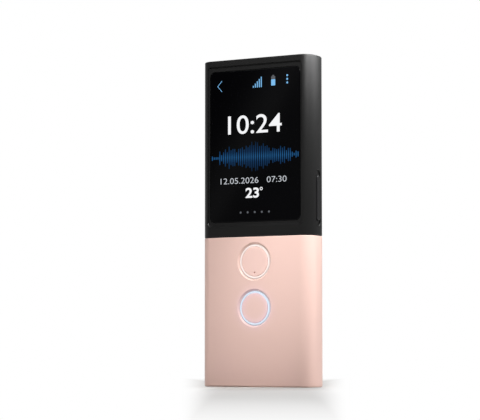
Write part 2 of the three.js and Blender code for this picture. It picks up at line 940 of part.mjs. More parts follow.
function sideSwitch() {
  const half = sideKey.switchSide / 2;
  const base = block([keyLevel.boardOuter, -half, -half], [keyLevel.switchFace, half, half]);
  const nub = extrude('X', pill(2 * sideKey.switchNubRadius, 2 * sideKey.switchNubRadius),
    keyLevel.switchFace - fit.slip, keyLevel.switchNub);
  return join(base, nub);
}

function sideBoard(length) {
  const half = length / 2 + keyEnd;
  return block([keyLevel.boardInner, -sideKey.boardWidth / 2, -half],
    [keyLevel.boardOuter, sideKey.boardWidth / 2, half]);
}

function leftSide(solid) {
  return solid.mirror([1, 0, 0]);
}

// Main board and what it carries

function mainBoardSolid() {
  const plate = block([-boardHalfWidth, upperLevel.boardFront, board.low],
    [boardHalfWidth, upperLevel.boardBack, board.high]);
  const holes = mainScrewPlaces().map(([x, z]) => (
    boardHole(x, z, upperLevel.boardFront, upperLevel.boardBack)));
  return cut(plate, ...holes);
}

// The can fills the board from the SIM reader to the right edge, below the camera
const can = {
  left: trayLevel.readerEnd + sim.readerWall + shield.readerClearance,
  right: boardHalfWidth - shield.sideClearance,
  high: cameraBaseLow - shield.cameraClearance,
};
can.low = can.high - shield.height;

function shieldCan() {
  const back = upperLevel.boardBack + shield.depth;
  const outer = block([can.left, upperLevel.boardBack, can.low], [can.right, back, can.high]);
  const hollow = block(
    [can.left + shield.sheet, upperLevel.boardBack - fit.overrun, can.low + shield.sheet],
    [can.right - shield.sheet, back - shield.sheet, can.high - shield.sheet]);
  return cut(outer, hollow);
}

function chip(width, height, depth) {
  return block([-width / 2, 0, -height / 2], [width / 2, depth, height / 2]);
}

const speakerBack = face.innerBack - speaker.meshThickness;

function speakerMesh() {
  return extrude('Y',
    roundedRectangle(speakerMeshSize.width, speakerMeshSize.height, speaker.meshMargin),
    speakerBack, face.innerBack);
}

function speakerBox() {
  const front = upperLevel.boardBack + shield.depth + speaker.shieldClearance;
  const box = extrude('Y',
    roundedRectangle(speakerMeshSize.width + 2 * speaker.boxMargin,
      speakerMeshSize.height + 2 * speaker.boxMargin, speaker.meshMargin), front, speakerBack);
  return cut(box, disc(speaker.coneRadius + fit.hairline, speakerBack - speaker.coneRecess,
    speakerBack + fit.overrun));
}

function speakerCone() {
  const floor = speakerBack - speaker.coneRecess;
  const top = floor + speaker.coneThickness;
  return turned([
    [0, floor],
    [speaker.coneRadius, floor],
    [speaker.coneRadius, top],
    [speaker.dustCapRadius, floor + speaker.coneThickness / 2],
    [0, top],
  ]);
}

function cameraModule() {
  const half = camera.baseSide / 2;
  const top = face.innerBack - fit.hairline;
  const back = top - camera.barrelLength;
  const base = block([-half, upperLevel.boardBack, -half], [half, back, half]);
  const barrel = disc(camera.barrelRadius, back - fit.slip, top);
  return join(base, barrel);
}

function cameraRing() {
  const seat = face.back - camera.seatDepth;
  const top = face.back - camera.ringSink;
  const inner = camera.ringRadius - camera.ringWall;
  return turned([
    [inner - camera.lipWidth, seat],
    [camera.ringRadius, seat],
    [camera.ringRadius, top - camera.edgeChamfer],
    [camera.ringRadius - camera.edgeChamfer, top],
    [inner, top],
    [inner, seat + camera.lipThickness],
    [inner - camera.lipWidth, seat + camera.lipThickness],
    [inner - camera.lipWidth, seat],
  ]);
}

function cameraWindow() {
  const low = face.back - camera.seatDepth + camera.lipThickness;
  const radius = camera.ringRadius - camera.ringWall - fit.hairline;
  return disc(radius, low, low + camera.windowThickness);
}

function flashLed() {
  const half = flash.postSide / 2;
  const lensBack = face.innerBack - flash.flangeThickness - fit.hairline;
  const postBack = lensBack - flash.emitterHeight;
  const post = block([-half, upperLevel.boardBack, -half], [half, postBack, half]);
  return join(post, disc(flash.emitterRadius, postBack - fit.slip, lensBack, facets.small));
}

function flashLens() {
  return turned([
    [0, face.innerBack - flash.flangeThickness],
    [flash.flangeRadius, face.innerBack - flash.flangeThickness],
    [flash.flangeRadius, face.innerBack],
    [flash.lensRadius, face.innerBack],
    [flash.lensRadius, face.back - flash.lensSink],
    [0, face.back - flash.lensSink],
  ]);
}

function antennaStrip() {
  const z = body.height - antenna.drop;
  const left = -flatHalfWidth + antenna.sideClearance;
  const right = flashX - flash.flangeRadius - antenna.flashClearance;
  return block([left, face.innerBack - antenna.thickness, z - antenna.height / 2],
    [right, face.innerBack, z + antenna.height / 2]);
}

// SIM tray: its face follows the side of the body, its tongue carries the card inwards

function simTray() {
  const tongueHalf = sim.trayWidth / 2;
  const cardHalf = sim.cardWidth / 2 + fit.slip;
  const front = trayY - sim.trayThickness / 2;
  const back = trayY + sim.trayThickness / 2;
  const faceBar = extrude('X', pill(sim.faceWidth, sim.faceLength, trayY, simHeight),
    trayLevel.outer - fit.overrun, trayLevel.faceInner)
    .intersect(barBlock(body.splitHeight, body.height, 0));
  const tongue = block([trayLevel.faceInner - fit.slip, front, simHeight - tongueHalf],
    [trayLevel.tip, back, simHeight + tongueHalf]);
  const pocket = block(
    [trayLevel.cardOuter - fit.slip, front + sim.pocketFloor, simHeight - cardHalf],
    [trayLevel.cardInner + fit.slip, back + fit.overrun, simHeight + cardHalf]);
  return cut(join(faceBar, tongue), pocket);
}

function simCard() {
  const low = trayY - sim.trayThickness / 2 + sim.pocketFloor;
  const half = sim.cardWidth / 2;
  return block([trayLevel.cardOuter, low, simHeight - half],
    [trayLevel.cardInner, low + sim.cardThickness, simHeight + half]);
}

function simReader() {
  const outer = -boardHalfWidth + sim.readerInset;
  const slotHalf = sim.trayWidth / 2 + fit.slip;
  const roof = trayY + sim.trayThickness / 2 + fit.slip;
  const shell = block([outer, upperLevel.boardBack, simHeight - slotHalf - sim.readerWall],
    [trayLevel.readerEnd + sim.readerWall, roof + sim.readerWall,
      simHeight + slotHalf + sim.readerWall]);
  const slot = block([outer - fit.overrun, upperLevel.boardBack - fit.overrun, simHeight - slotHalf],
    [trayLevel.readerEnd, roof, simHeight + slotHalf]);
  return cut(shell, slot);
}

// Talk buttons, on their own axis at x = z = 0

function talkCap(withMicrophoneHole) {
  const section = [
    [0, lowerLevel.ringFront],
    [talkButton.capRadius - talkButton.capRound, lowerLevel.ringFront],
    [talkButton.capRadius, lowerLevel.ringFront + talkButton.capRound],
    [talkButton.capRadius, lowerLevel.capFlange],
    [talkButton.flangeRadius, lowerLevel.capFlange],
    [talkButton.flangeRadius, lowerLevel.capBack],
    [talkButton.plungerRadius, lowerLevel.capBack],
    [talkButton.plungerRadius, lowerLevel.plungerTip],
    [0, lowerLevel.plungerTip],
  ];
  const cap = turned(section);
  if (!withMicrophoneHole) return cap;
  const hole = disc(talkButton.microphoneHoleRadius, face.front, lowerLevel.capBack + fit.overrun,
    facets.tiny);
  return cut(cap, moved(hole, 0, 0, -talkButton.microphoneDrop));
}

// A light guide with one leg that reaches back to its lamp, above or below the button
function lightRingSolid(direction) {
  const ring = turned([
    [lightRing.innerRadius, lowerLevel.ringFront],
    [lightRing.outerRadius, lowerLevel.ringFront],
    [lightRing.outerRadius, face.innerFront],
    [lightRing.flangeRadius, face.innerFront],
    [lightRing.flangeRadius, lowerLevel.ringBack],
    [lightRing.innerRadius, lowerLevel.ringBack],
    [lightRing.innerRadius, lowerLevel.ringFront],
  ]);
  const edges = [
    direction * (lightRing.flangeRadius - lightRing.legDepth),
    direction * (lightRing.flangeRadius - fit.hairline),
  ].sort((a, b) => a - b);
  const leg = block(
    [-lightRing.legWidth / 2, face.innerFront + fit.hairline, edges[0]],
    [lightRing.legWidth / 2, lowerLevel.boardFront - led.depth - fit.hairline, edges[1]]);
  return join(ring, leg);
}

function ledOffset(direction) {
  return direction * (lightRing.flangeRadius - lightRing.legDepth / 2);
}

function dome() {
  const height = talkButton.domeHeight;
  const radius = talkButton.domeRadius;
  return turned([
    [0, 0],
    [radius, 0],
    [radius * Math.cos(Math.PI / 6), -height * Math.sin(Math.PI / 6)],
    [radius * Math.cos(Math.PI / 3), -height * Math.sin(Math.PI / 3)],
    [0, -height],
  ], facets.small);
}

function domeRetainer() {
  const front = lowerLevel.boardFront - retainer.thickness;
  const low = talkHeight.lower - retainer.endMargin;
  const high = talkHeight.upper + retainer.endMargin;
  const sheet = extrude('Y',
    roundedRectangle(2 * retainer.halfWidth, high - low, retainer.corner, 0, (low + high) / 2),
    front, lowerLevel.boardFront);
  const domeHoles = [talkHeight.lower, talkHeight.upper].map((z) => moved(
    disc(talkButton.domeRadius + fit.slip, front - fit.overrun, 0, facets.small), 0, 0, z));
  const microphoneHole = moved(
    block([-microphone.width / 2 - fit.slip, front - fit.overrun, -microphone.height / 2 - fit.slip],
      [microphone.width / 2 + fit.slip, 0, microphone.height / 2 + fit.slip]),
    0, 0, talkHeight.upper - talkButton.microphoneDrop);
  return cut(sheet, ...domeHoles, microphoneHole);
}

function buttonBoardSolid() {
  const plate = block([-lowerBoardHalfWidth, lowerLevel.boardFront, lowerBoard.low],
    [lowerBoardHalfWidth, lowerLevel.boardBack, lowerBoard.high]);
  const holes = buttonScrewPlaces().map(([x, z]) => (
    boardHole(x, z, lowerLevel.boardFront, lowerLevel.boardBack)));
  return cut(plate, ...holes);
}

// Socket for the charging plug, mouth down, standing on the board's back face
function usbSocket() {
  const outer = extrude('Z', pill(usb.width, usb.height), 0, usb.depth);
  const inner = extrude('Z', pill(usb.width - 2 * usb.sheet, usb.height - 2 * usb.sheet),
    -fit.overrun, usb.cavityDepth);
  const tongue = block(
    [-usb.tongueWidth / 2, -usb.tongueThickness / 2, usb.cavityDepth - usb.tongueLength],
    [usb.tongueWidth / 2, usb.tongueThickness / 2, usb.depth - fit.running]);
  return join(cut(outer, inner), tongue);
}

// Battery, its lead and the link between the two boards

function batteryCell() {
  return extrude('Z',
    roundedRectangle(2 * batteryHalfWidth, lowerLevel.batteryBack - lowerLevel.batteryFront, battery.corner,
      0, (lowerLevel.batteryBack + lowerLevel.batteryFront) / 2), cell.low, cell.high);
}

function batteryPad() {
  const half = batteryHalfWidth - battery.padMargin;
  return block([-half, lowerLevel.batteryBack, cell.low + battery.padMargin],
    [half, face.innerBack, cell.high - battery.padMargin]);
}

function batteryConnector() {
  const half = battery.connectorWidth / 2;
  return block([leadX - half, upperLevel.boardBack, board.low],
    [leadX + half, upperLevel.boardBack + battery.connectorDepth,
      board.low + battery.connectorHeight]);
}

function batteryLead() {
  const half = battery.leadWidth / 2;
  const front = upperLevel.boardBack + battery.leadSetback;
  return block([leadX - half, front, cell.high],
    [leadX + half, front + battery.leadThickness, board.low]);
}

function boardFlexStrip() {
  const half = boardFlex.width / 2;
  const x0 = boardFlexX - half;
  const x1 = boardFlexX + half;
  const middle = (lowerBoard.high + board.low) / 2;
  const lower = block([x0, lowerLevel.boardBack, lowerBoard.high - boardFlex.overlap],
    [x1, lowerLevel.boardBack + boardFlex.thickness, middle]);
  const upper = block([x0, upperLevel.boardBack, middle],
    [x1, upperLevel.boardBack + boardFlex.thickness, board.low + boardFlex.overlap]);
  const riser = block([x0, lowerLevel.boardBack, middle - boardFlex.thickness],
    [x1, upperLevel.boardBack + boardFlex.thickness, middle + boardFlex.thickness]);
  return join(lower, riser, upper);
}

function lanyardBar() {
  const high = lanyard.height + lanyard.slotWidth / 2 + lanyard.shelfClearance;
  const geometry = new THREE.CylinderGeometry(lanyard.barRadius, lanyard.barRadius,
    high - body.wall, facets.small);
  geometry.rotateX(Math.PI / 2);
  geometry.translate(0, 0, (high + body.wall) / 2);
  return toSolid(geometry);
}

// Assemblies

function upperHousingGroup() {
  const group = new THREE.Group();
  group.add(piece('upper_front_housing', upperFrontHousing(), palette.blackShell));
  group.add(piece('upper_back_cover', upperBackCover(), palette.blackShell));
  group.add(piece('mid_frame', midFrame(), palette.sheetMetal));
  group.add(piece('antenna_strip', antennaStrip(), palette.flex));
  return group;
}

function displayGroup() {
  const group = new THREE.Group();
  const glassPlate = extrude('Y', glassOutline(), upperLevel.ledge, upperLevel.glassBack);
  const panelPlate = extrude('Y', panelOutline(), upperLevel.glassBack, upperLevel.panelBack);
  const tray = extrude('Y', panelOutline(), upperLevel.panelBack, upperLevel.backlightBack);
  group.add(piece('display_glass', glassPlate, palette.glass));
  group.add(piece('display_adhesive', displayAdhesive(), palette.tape));
  group.add(piece('lcd_panel', panelPlate, palette.glass));
  group.add(piece('backlight_tray', tray, palette.sheetMetal));
  group.add(piece('display_flex', displayFlex(), palette.flex));
  return group;
}

function mainBoardGroup() {
  const group = new THREE.Group();
  const chipsX = (can.left + can.right) / 2;
  const processorSide = shield.processorShare * shield.height;
  const memoryLength = shield.memoryShare * shield.height;
  const chipsHeight = processorSide + shield.chipSpacing + memoryLength;
  const processorZ = (can.low + can.high - chipsHeight + processorSide) / 2;
  const memoryZ = (can.low + can.high + chipsHeight - memoryLength) / 2;
  group.add(piece('main_board', mainBoardSolid(), palette.circuit));
  group.add(piece('shield_can', shieldCan(), palette.sheetMetal));
  group.add(piece('processor_chip', chip(processorSide, processorSide, shield.processorHeight),
    palette.chip, chipsX, upperLevel.boardBack, processorZ));
  group.add(piece('memory_chip', chip(processorSide, memoryLength, shield.memoryHeight),
    palette.chip, chipsX, upperLevel.boardBack, memoryZ));
  group.add(piece('battery_connector', batteryConnector(), palette.chip));
  mainScrewPlaces().forEach(([x, z], index) => {
    group.add(piece(`board_screw_${index + 1}`, screwSolid(), palette.sheetMetal,
      x, upperLevel.boardBack, z));
  });
  return group;
}

function soundAndSightGroup() {
  const group = new THREE.Group();
  group.add(piece('speaker_mesh', speakerMesh(), palette.tape, 0, 0, speakerHeight));
  group.add(piece('speaker_box', speakerBox(), palette.chip, 0, 0, speakerHeight));
  group.add(piece('speaker_cone', speakerCone(), palette.tape, 0, 0, speakerHeight));
  group.add(piece('camera_module', cameraModule(), palette.chip, cameraX, 0, cameraHeight));
  group.add(piece('camera_ring', cameraRing(), palette.glass, cameraX, 0, cameraHeight));
  group.add(piece('camera_window', cameraWindow(), palette.glass, cameraX, 0, cameraHeight));
  group.add(piece('flash_led', flashLed(), palette.card, flashX, 0, cameraHeight));
  group.add(piece('flash_lens', flashLens(), palette.clear, flashX, 0, cameraHeight));
  return group;
}

function simGroup() {
  const group = new THREE.Group();
  group.add(piece('sim_reader', simReader(), palette.sheetMetal));
  group.add(piece('sim_tray', simTray(), palette.blackShell));
  group.add(piece('sim_card', simCard(), palette.card));
  return group;
}

function sideKeyGroup() {
  const group = new THREE.Group();
  const nub = volume.nubSpacing / 2;
  group.add(piece('volume_rocker', sideKeyCap(volume.length, [nub, -nub]), palette.blackShell,
    0, 0, volumeHeight));
  group.add(piece('volume_key_board', sideBoard(volume.length), palette.flex,
    0, 0, volumeHeight));
  group.add(piece('volume_up_switch', sideSwitch(), palette.chip, 0, 0, volumeHeight + nub));
  group.add(piece('volume_down_switch', sideSwitch(), palette.chip, 0, 0, volumeHeight - nub));
  group.add(piece('power_button', leftSide(sideKeyCap(power.length, [0])), palette.blackShell,
    0, 0, powerHeight));
  group.add(piece('power_key_board', leftSide(sideBoard(power.length)), palette.flex,
    0, 0, powerHeight));
  group.add(piece('power_switch', leftSide(sideSwitch()), palette.chip, 0, 0, powerHeight));
  return group;
}

function talkButtonGroup(name, z, direction, withMicrophoneHole) {
  const group = new THREE.Group();
  group.position.z = z;
  group.add(piece(`${name}_button`, talkCap(withMicrophoneHole), palette.pinkShell));
  group.add(piece(`${name}_light_ring`, lightRingSolid(direction), palette.clear));
  group.add(piece(`${name}_dome`, dome(), palette.gold, 0, lowerLevel.boardFront, 0));
  group.add(piece(`${name}_ring_led`, chip(led.width, led.height, led.depth), palette.card,
    0, lowerLevel.boardFront - led.depth, ledOffset(direction)));
  return group;
}

function lowerHousingGroup() {
  const group = new THREE.Group();
  group.add(piece('lower_front_housing', lowerFrontHousing(), palette.pinkShell));
  group.add(piece('lower_back_cover', lowerBackCover(), palette.pinkShell));
  group.add(piece('lanyard_bar', lanyardBar(), palette.sheetMetal,
    lanyard.offsetX, face.innerBack - lanyard.barSetback, 0));
  return group;
}

function buttonBoardGroup() {
  const group = new THREE.Group();
  group.add(piece('button_board', buttonBoardSolid(), palette.circuit));
  group.add(piece('dome_retainer', domeRetainer(), palette.tape));
  group.add(piece('front_microphone', chip(microphone.width, microphone.height, microphone.depth),
    palette.gold, 0, lowerLevel.boardFront - microphone.depth,
    talkHeight.upper - talkButton.microphoneDrop));
  group.add(piece('usb_socket', usbSocket(), palette.sheetMetal,
    usbX, usbCentreY(), usb.mouthSink));
  group.add(piece('board_flex', boardFlexStrip(), palette.flex));
  buttonScrewPlaces().forEach(([x, z], index) => {
    group.add(piece(`button_board_screw_${index + 1}`, screwSolid(), palette.sheetMetal,
      x, lowerLevel.boardBack, z));
  });
  return group;
}

function batteryGroup() {
  const group = new THREE.Group();
  group.add(piece('battery', batteryCell(), palette.cell));
  group.add(piece('battery_pad', batteryPad(), palette.tape));
  group.add(piece('battery_lead', batteryLead(), palette.flex));
  return group;
}

const translator = new THREE.Group();
translator.add(
  upperHousingGroup(),
  displayGroup(),
  mainBoardGroup(),
  soundAndSightGroup(),
  simGroup(),
  sideKeyGroup(),
  lowerHousingGroup(),
  talkButtonGroup('upper', talkHeight.upper, 1, true),
  talkButtonGroup('lower', talkHeight.lower, -1, false),
  buttonBoardGroup(),
  batteryGroup(),
);

export default translator;
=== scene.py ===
"""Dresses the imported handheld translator: fine shells, display, lit buttons, keys and optics."""

import json
import logging
import math
from collections.abc import Callable
from dataclasses import dataclass, replace
from enum import Enum

import bmesh
import bpy
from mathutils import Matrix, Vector


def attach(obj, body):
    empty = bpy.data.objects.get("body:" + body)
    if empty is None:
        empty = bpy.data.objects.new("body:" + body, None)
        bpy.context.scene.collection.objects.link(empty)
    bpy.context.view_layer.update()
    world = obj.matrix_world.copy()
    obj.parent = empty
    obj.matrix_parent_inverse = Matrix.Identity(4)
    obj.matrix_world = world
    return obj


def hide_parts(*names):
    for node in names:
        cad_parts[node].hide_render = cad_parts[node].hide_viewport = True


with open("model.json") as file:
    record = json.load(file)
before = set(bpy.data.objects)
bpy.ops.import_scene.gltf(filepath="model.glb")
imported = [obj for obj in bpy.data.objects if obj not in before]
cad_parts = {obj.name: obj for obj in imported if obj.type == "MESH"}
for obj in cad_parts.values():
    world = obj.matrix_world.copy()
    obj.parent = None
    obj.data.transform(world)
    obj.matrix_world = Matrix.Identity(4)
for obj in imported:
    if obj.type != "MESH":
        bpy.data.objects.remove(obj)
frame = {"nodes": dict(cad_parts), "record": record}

LOG = logging.getLogger("translator")
MM = 0.001
HANDSET = "handset"
Point = tuple[float, float]
Place = tuple[float, float, float]
Ring = tuple[float, list[Point]]
Growth = Callable[[float], list[Point]]
Colour = tuple[int, int, int]
Paint = tuple[float, float, float, float]

# Short names for Blender's types, and what a socket takes
Wire = bpy.types.NodeSocket
Solid = bpy.types.Object
Tree = bpy.types.NodeTree
Number = float | Wire
Tint = Paint | Wire
Feed = float | tuple[float, ...] | bpy.types.Material | Wire
Input = tuple[str, str, float | Paint | None]


class Axis(Enum):
    """The direction in which a stack of outlines is lofted."""

    X = "x"
    Y = "y"
    Z = "z"


class Pattern(Enum):
    """The kind of surface a finish shows close up."""

    MOULDED = "moulded"
    BRUSHED = "brushed"
    POLISHED = "polished"
    CIRCUIT = "circuit"
    TRACES = "traces"
    WOVEN = "woven"
    FOAM = "foam"
    CLEAR = "clear"


class Effect(Enum):
    """A shader group that several materials share."""

    GRAIN = "grain"
    BRUSHED = "brushed"
    HANDLING = "handling"
    TRACES = "traces"
    GLOW = "glow"


class Carving(Enum):
    """How one body acts on another."""

    CUT = "DIFFERENCE"
    JOIN = "UNION"
    OVERLAP = "INTERSECT"


# Sizes that several assemblies share, in millimetres


@dataclass(frozen=True)
class BodySizes:
    """Outside form of the bar and the levels through its thickness."""

    flat_half: float = 20.1
    bulge: float = 3.3
    half_depth: float = 6.65
    height: float = 122.0
    split: float = 55.4
    wall: float = 1.3
    soft_start: float = 1.3
    soft_power: float = 2.3
    end_round: float = 0.5
    foot_round: float = 0.7
    split_round: float = 0.36
    seam: float = 2.5
    ledge: float = -6.2
    glass_back: float = -5.4
    bezel_front: float = -5.25
    bezel_back: float = -4.65
    arc_steps: int = 44
    round_steps: int = 8

    @property
    def side(self) -> float:
        """Half of the bar's width."""
        return self.flat_half + self.bulge

    @property
    def inner(self) -> float:
        """Half of the thickness inside the walls."""
        return self.half_depth - self.wall


@dataclass(frozen=True)
class Places:
    """Where the features stand that several assemblies or finishes share."""

    upper_button: float = 46.2
    lower_button: float = 29.0
    ring_middle: float = 5.87
    volume_z: float = 69.3
    volume_length: float = 16.6
    power_z: float = 100.022
    power_length: float = 8.4
    tray_y: float = -0.05
    tray_z: float = 70.0
    camera_x: float = 8.0
    camera_z: float = 110.0
    camera_seat_depth: float = 0.9
    flash_x: float = -0.6
    speaker_z: float = 92.6
    bars_z: float = 85.2
    socket_x: float = -9.0
    socket_y: float = 0.18


BODY = BodySizes()
AT = Places()

# How far a box that cuts away a whole side reaches
REACH = 200.0


# Outlines

# How much of a full half circle a pill's end takes, so that no two points meet
PILL_SHARE = 0.9995


def circle_points(radius: float, count: int, x: float = 0.0, y: float = 0.0) -> list[Point]:
    """A circle.

    Args:
        radius: its radius.
        count: how many points it has.
        x: its centre across.
        y: its centre along.

    Returns:
        The points in turn.
    """
    turn = 2 * math.pi / count
    return [(x + radius * math.cos(turn * i), y + radius * math.sin(turn * i))
            for i in range(count)]


def rounded_points(width: float, height: float, radius: float, x: float = 0.0, y: float = 0.0,
                   steps: int = 8) -> list[Point]:
    """A rectangle with round corners.

    Args:
        width: its full width.
        height: its full height.
        radius: the corners' radius.
        x: its centre across.
        y: its centre along.
        steps: how many parts a corner has.

    Returns:
        The points in turn.
    """
    points = []
    for corner, (side_x, side_y) in enumerate(((1, 1), (-1, 1), (-1, -1), (1, -1))):
        middle = (x + side_x * (width / 2 - radius), y + side_y * (height / 2 - radius))
        for step in range(steps + 1):
            angle = math.pi / 2 * (corner + step / steps)
            points.append((middle[0] + radius * math.cos(angle),
                           middle[1] + radius * math.sin(angle)))
    return points


def pill_points(width: float, height: float, x: float = 0.0, y: float = 0.0,
                steps: int = 10) -> list[Point]:
    """A slot with full round ends, each quarter turn in so many steps, round a centre."""
    nearly = min(width, height) / 2 * PILL_SHARE
    return rounded_points(width, height, nearly, x, y, steps)


def bar_points(inset: float, steps: int) -> list[Point]:
    """The bar's cross-section, with flat faces and half-elliptical sides.

    Args:
        inset: how far inside the real outline it runs.
        steps: how many parts each side's arc has.

    Returns:
        The points in turn.
    """
    points = []
    for side in (1, -1):
        for step in range(steps + 1):
            angle = math.pi * (step / steps - 0.5)
            across = BODY.flat_half + (BODY.bulge - inset) * math.cos(angle)
            points.append((side * across, side * (BODY.half_depth - inset) * math.sin(angle)))
    return points


def skin_points(inset: float, steps: int) -> list[Point]:
    """The bar's outside, whose flat faces run into its sides without a visible crease.

    Args:
        inset: how far inside the real outline it runs.
        steps: how many parts each side's arc has.

    Returns:
        The points in turn.
    """
    flat, reach = BODY.flat_half - BODY.soft_start, BODY.bulge + BODY.soft_start - inset
    depth, power = BODY.half_depth - inset, 2 / BODY.soft_power
    points = []
    for side in (1, -1):
        for step in range(steps + 1):
            angle = math.pi * (step / steps - 0.5)
            out, along = math.cos(angle), math.sin(angle)
            across = flat + reach * max(out, 0.0) ** power
            deep = math.copysign(depth * abs(along) ** power, along)
            points.append((side * across, side * deep))
    return points


def round_insets(radius: float, steps: int) -> list[Point]:
    """How a rounded edge recedes, as (rise, inset) from the end inwards.

    Args:
        radius: the edge's radius.
        steps: how many parts it has.

    Returns:
        The pairs in turn.
    """
    if radius == 0:
        return [(0.0, 0.0)]
    quarter = [math.pi / 2 * step / steps for step in range(steps + 1)]
    return [(radius * (1 - math.cos(angle)), radius * (1 - math.sin(angle))) for angle in quarter]


# Meshes

# Points nearer than this many metres are one, and this many millimetres stand for an axis
SAME_POINT = 1e-7
AXIS_RADIUS = 0.002


def linked(name: str, data: bpy.types.ID) -> Solid:
    """Makes an object and puts it in the scene.

    Args:
        name: its name.
        data: its mesh, curve, camera or light.

    Returns:
        The new object.
    """
    made = bpy.data.objects.new(name, data)
    bpy.context.scene.collection.objects.link(made)
    return made


def mesh_object(name: str, points: list[Place], faces: list[list[int]]) -> Solid:
    """Makes an object at the origin from points in millimetres, with its faces outwards.

    Args:
        name: the object's name.
        points: the vertices.
        faces: the vertices' indices of each face.

    Returns:
        The new object.
    """
    mesh = bpy.data.meshes.new(name)
    mesh.from_pydata([tuple(value * MM for value in point) for point in points], [], faces)
    work = bmesh.new()
    work.from_mesh(mesh)
    bmesh.ops.remove_doubles(work, verts=work.verts, dist=SAME_POINT)
    bmesh.ops.recalc_face_normals(work, faces=work.faces)
    work.to_mesh(mesh)
    work.free()
    return linked(name, mesh)


def placed(axis: Axis, level: float, point: Point) -> Place:
    """A point of an outline, put at its level along the loft's axis.

    Args:
        axis: the loft's axis.
        level: the outline's level along it.
        point: the point in the outline.

    Returns:
        The point in space.
    """
    u, v = point
    if axis is Axis.X:
        return (level, u, v)
    if axis is Axis.Y:
        return (u, level, v)
    return (u, v, level)


def loft(name: str, rings: list[Ring], axis: Axis, closed: bool = False) -> Solid:
    """Joins outlines with the same number of points into a closed body.

    Args:
        name: the object's name.
        rings: (level, outline) in turn.
        axis: the axis that the levels lie along.
        closed: joins the last outline to the first, without end caps.

    Returns:
        The new object.
    """
    count = len(rings[0][1])
    points = [placed(axis, level, point) for level, outline in rings for point in outline]
    faces = []
    spans = len(rings) if closed else len(rings) - 1
    for span in range(spans):
        start, after = span * count, ((span + 1) % len(rings)) * count
        for i in range(count):
            j = (i + 1) % count
            faces.append([start + i, start + j, after + j, after + i])
    if not closed:
        last = (len(rings) - 1) * count
        faces.append(list(range(count))[::-1])
        faces.append([last + i for i in range(count)])
    return mesh_object(name, points, faces)


def lathe(name: str, profile: list[Point], x: float = 0.0, z: float = 0.0, sides: int = 96,
          closed: bool = False) -> Solid:
    """Turns a half section about an axis that runs along Y.

    Args:
        name: the object's name.
        profile: (radius, y) in turn.
        x: the axis's place across.
        z: the axis's height.
        sides: how many parts a turn has.
        closed: the section is a closed loop off the axis.

    Returns:
        The new object.
    """
    rings = [(level, circle_points(max(radius, AXIS_RADIUS), sides, x, z))
             for radius, level in profile]
    return loft(name, rings, Axis.Y, closed)


def box(name: str, low: Place, high: Place) -> Solid:
    """A box from its lowest to its highest corner, used only to cut or join."""
    outline = [(low[0], low[1]), (high[0], low[1]), (high[0], high[1]), (low[0], high[1])]
    return loft(name, [(low[2], outline), (high[2], outline)], Axis.Z)


def settle(made: Solid) -> Solid:
    """Turns an object's modifiers into its plain mesh.

    Args:
        made: the object.

    Returns:
        The same object.
    """
    bpy.context.view_layer.update()
    graph = bpy.context.evaluated_depsgraph_get()
    mesh = bpy.data.meshes.new_from_object(
        made.evaluated_get(graph), preserve_all_data_layers=True, depsgraph=graph)
    made.modifiers.clear()
    made.data = mesh
    return made


def carve(base: Solid, *tools: Solid, how: Carving = Carving.CUT) -> Solid:
    """Cuts, joins or intersects a body with others, which are used up.

    Args:
        base: the body that is kept.
        tools: the bodies that act on it.
        how: in which way they act.

    Returns:
        The changed body.
    """
    for tool in tools:
        step = base.modifiers.new("carve", "BOOLEAN")
        step.operation = how.value
        step.solver = "EXACT"
        step.object = tool
    settle(base)
    for tool in tools:
        bpy.data.objects.remove(tool)
    return base


def merge(name: str, *parts: Solid) -> Solid:
    """Puts the meshes of several objects into one new object, and removes them.

    Args:
        name: the new object's name.
        parts: the objects to put together.

    Returns:
        The new object.
    """
    work = bmesh.new()
    for part in parts:
        work.from_mesh(part.data)
        bpy.data.objects.remove(part)
    mesh = bpy.data.meshes.new(name)
    work.to_mesh(mesh)
    work.free()
    return linked(name, mesh)


def polish(made: Solid, angle: float = 32.0) -> Solid:
    """Shades a body smoothly except across its sharp edges.

    Args:
        made: the body.
        angle: the least angle of a sharp edge, in degrees.

    Returns:
        The same body.
    """
    mesh = made.data
    mesh.polygons.foreach_set("use_smooth", [True] * len(mesh.polygons))
    mesh.set_sharp_from_angle(angle=math.radians(angle))
    weigh = made.modifiers.new("weigh", "WEIGHTED_NORMAL")
    weigh.keep_sharp = True
    return settle(made)


def grown_mesh(name: str, tree: Tree, inputs: list[Input],
               material: bpy.types.Material, place: Place) -> Solid:
    """Runs a geometry node tree and keeps the plain mesh that it makes.

    Args:
        name: the object's name.
        tree: the tree.
        inputs: its inputs with their values, in metres.
        material: what it is made of.
        place: where its middle goes, in millimetres.

    Returns:
        The new object.
    """
    made = mesh_object(name, [(0, 0, 0)], [])
    step = made.modifiers.new("grow", "NODES")
    step.node_group = tree
    values = {"Material": material, **{label: value for label, _, value in inputs}}
    for item in tree.interface.items_tree:
        if item.item_type == "SOCKET" and item.in_out == "INPUT" and item.name in values:
            step[item.identifier] = values[item.name]
    settle(made)
    shift = Vector([value * MM for value in place])
    for vertex in made.data.vertices:
        vertex.co += shift
    return made


# Node trees

VECTOR, COLOUR, FLOAT, WHOLE = ("NodeSocketVector", "NodeSocketColor", "NodeSocketFloat",
                                "NodeSocketInt")
GEOMETRY, MATERIAL = "NodeSocketGeometry", "NodeSocketMaterial"
SHADER_TREE, GEOMETRY_TREE = "ShaderNodeTree", "GeometryNodeTree"
MIX_SHARE, MIX_FIRST, MIX_SECOND, MIX_RESULT = 0, 6, 7, 2


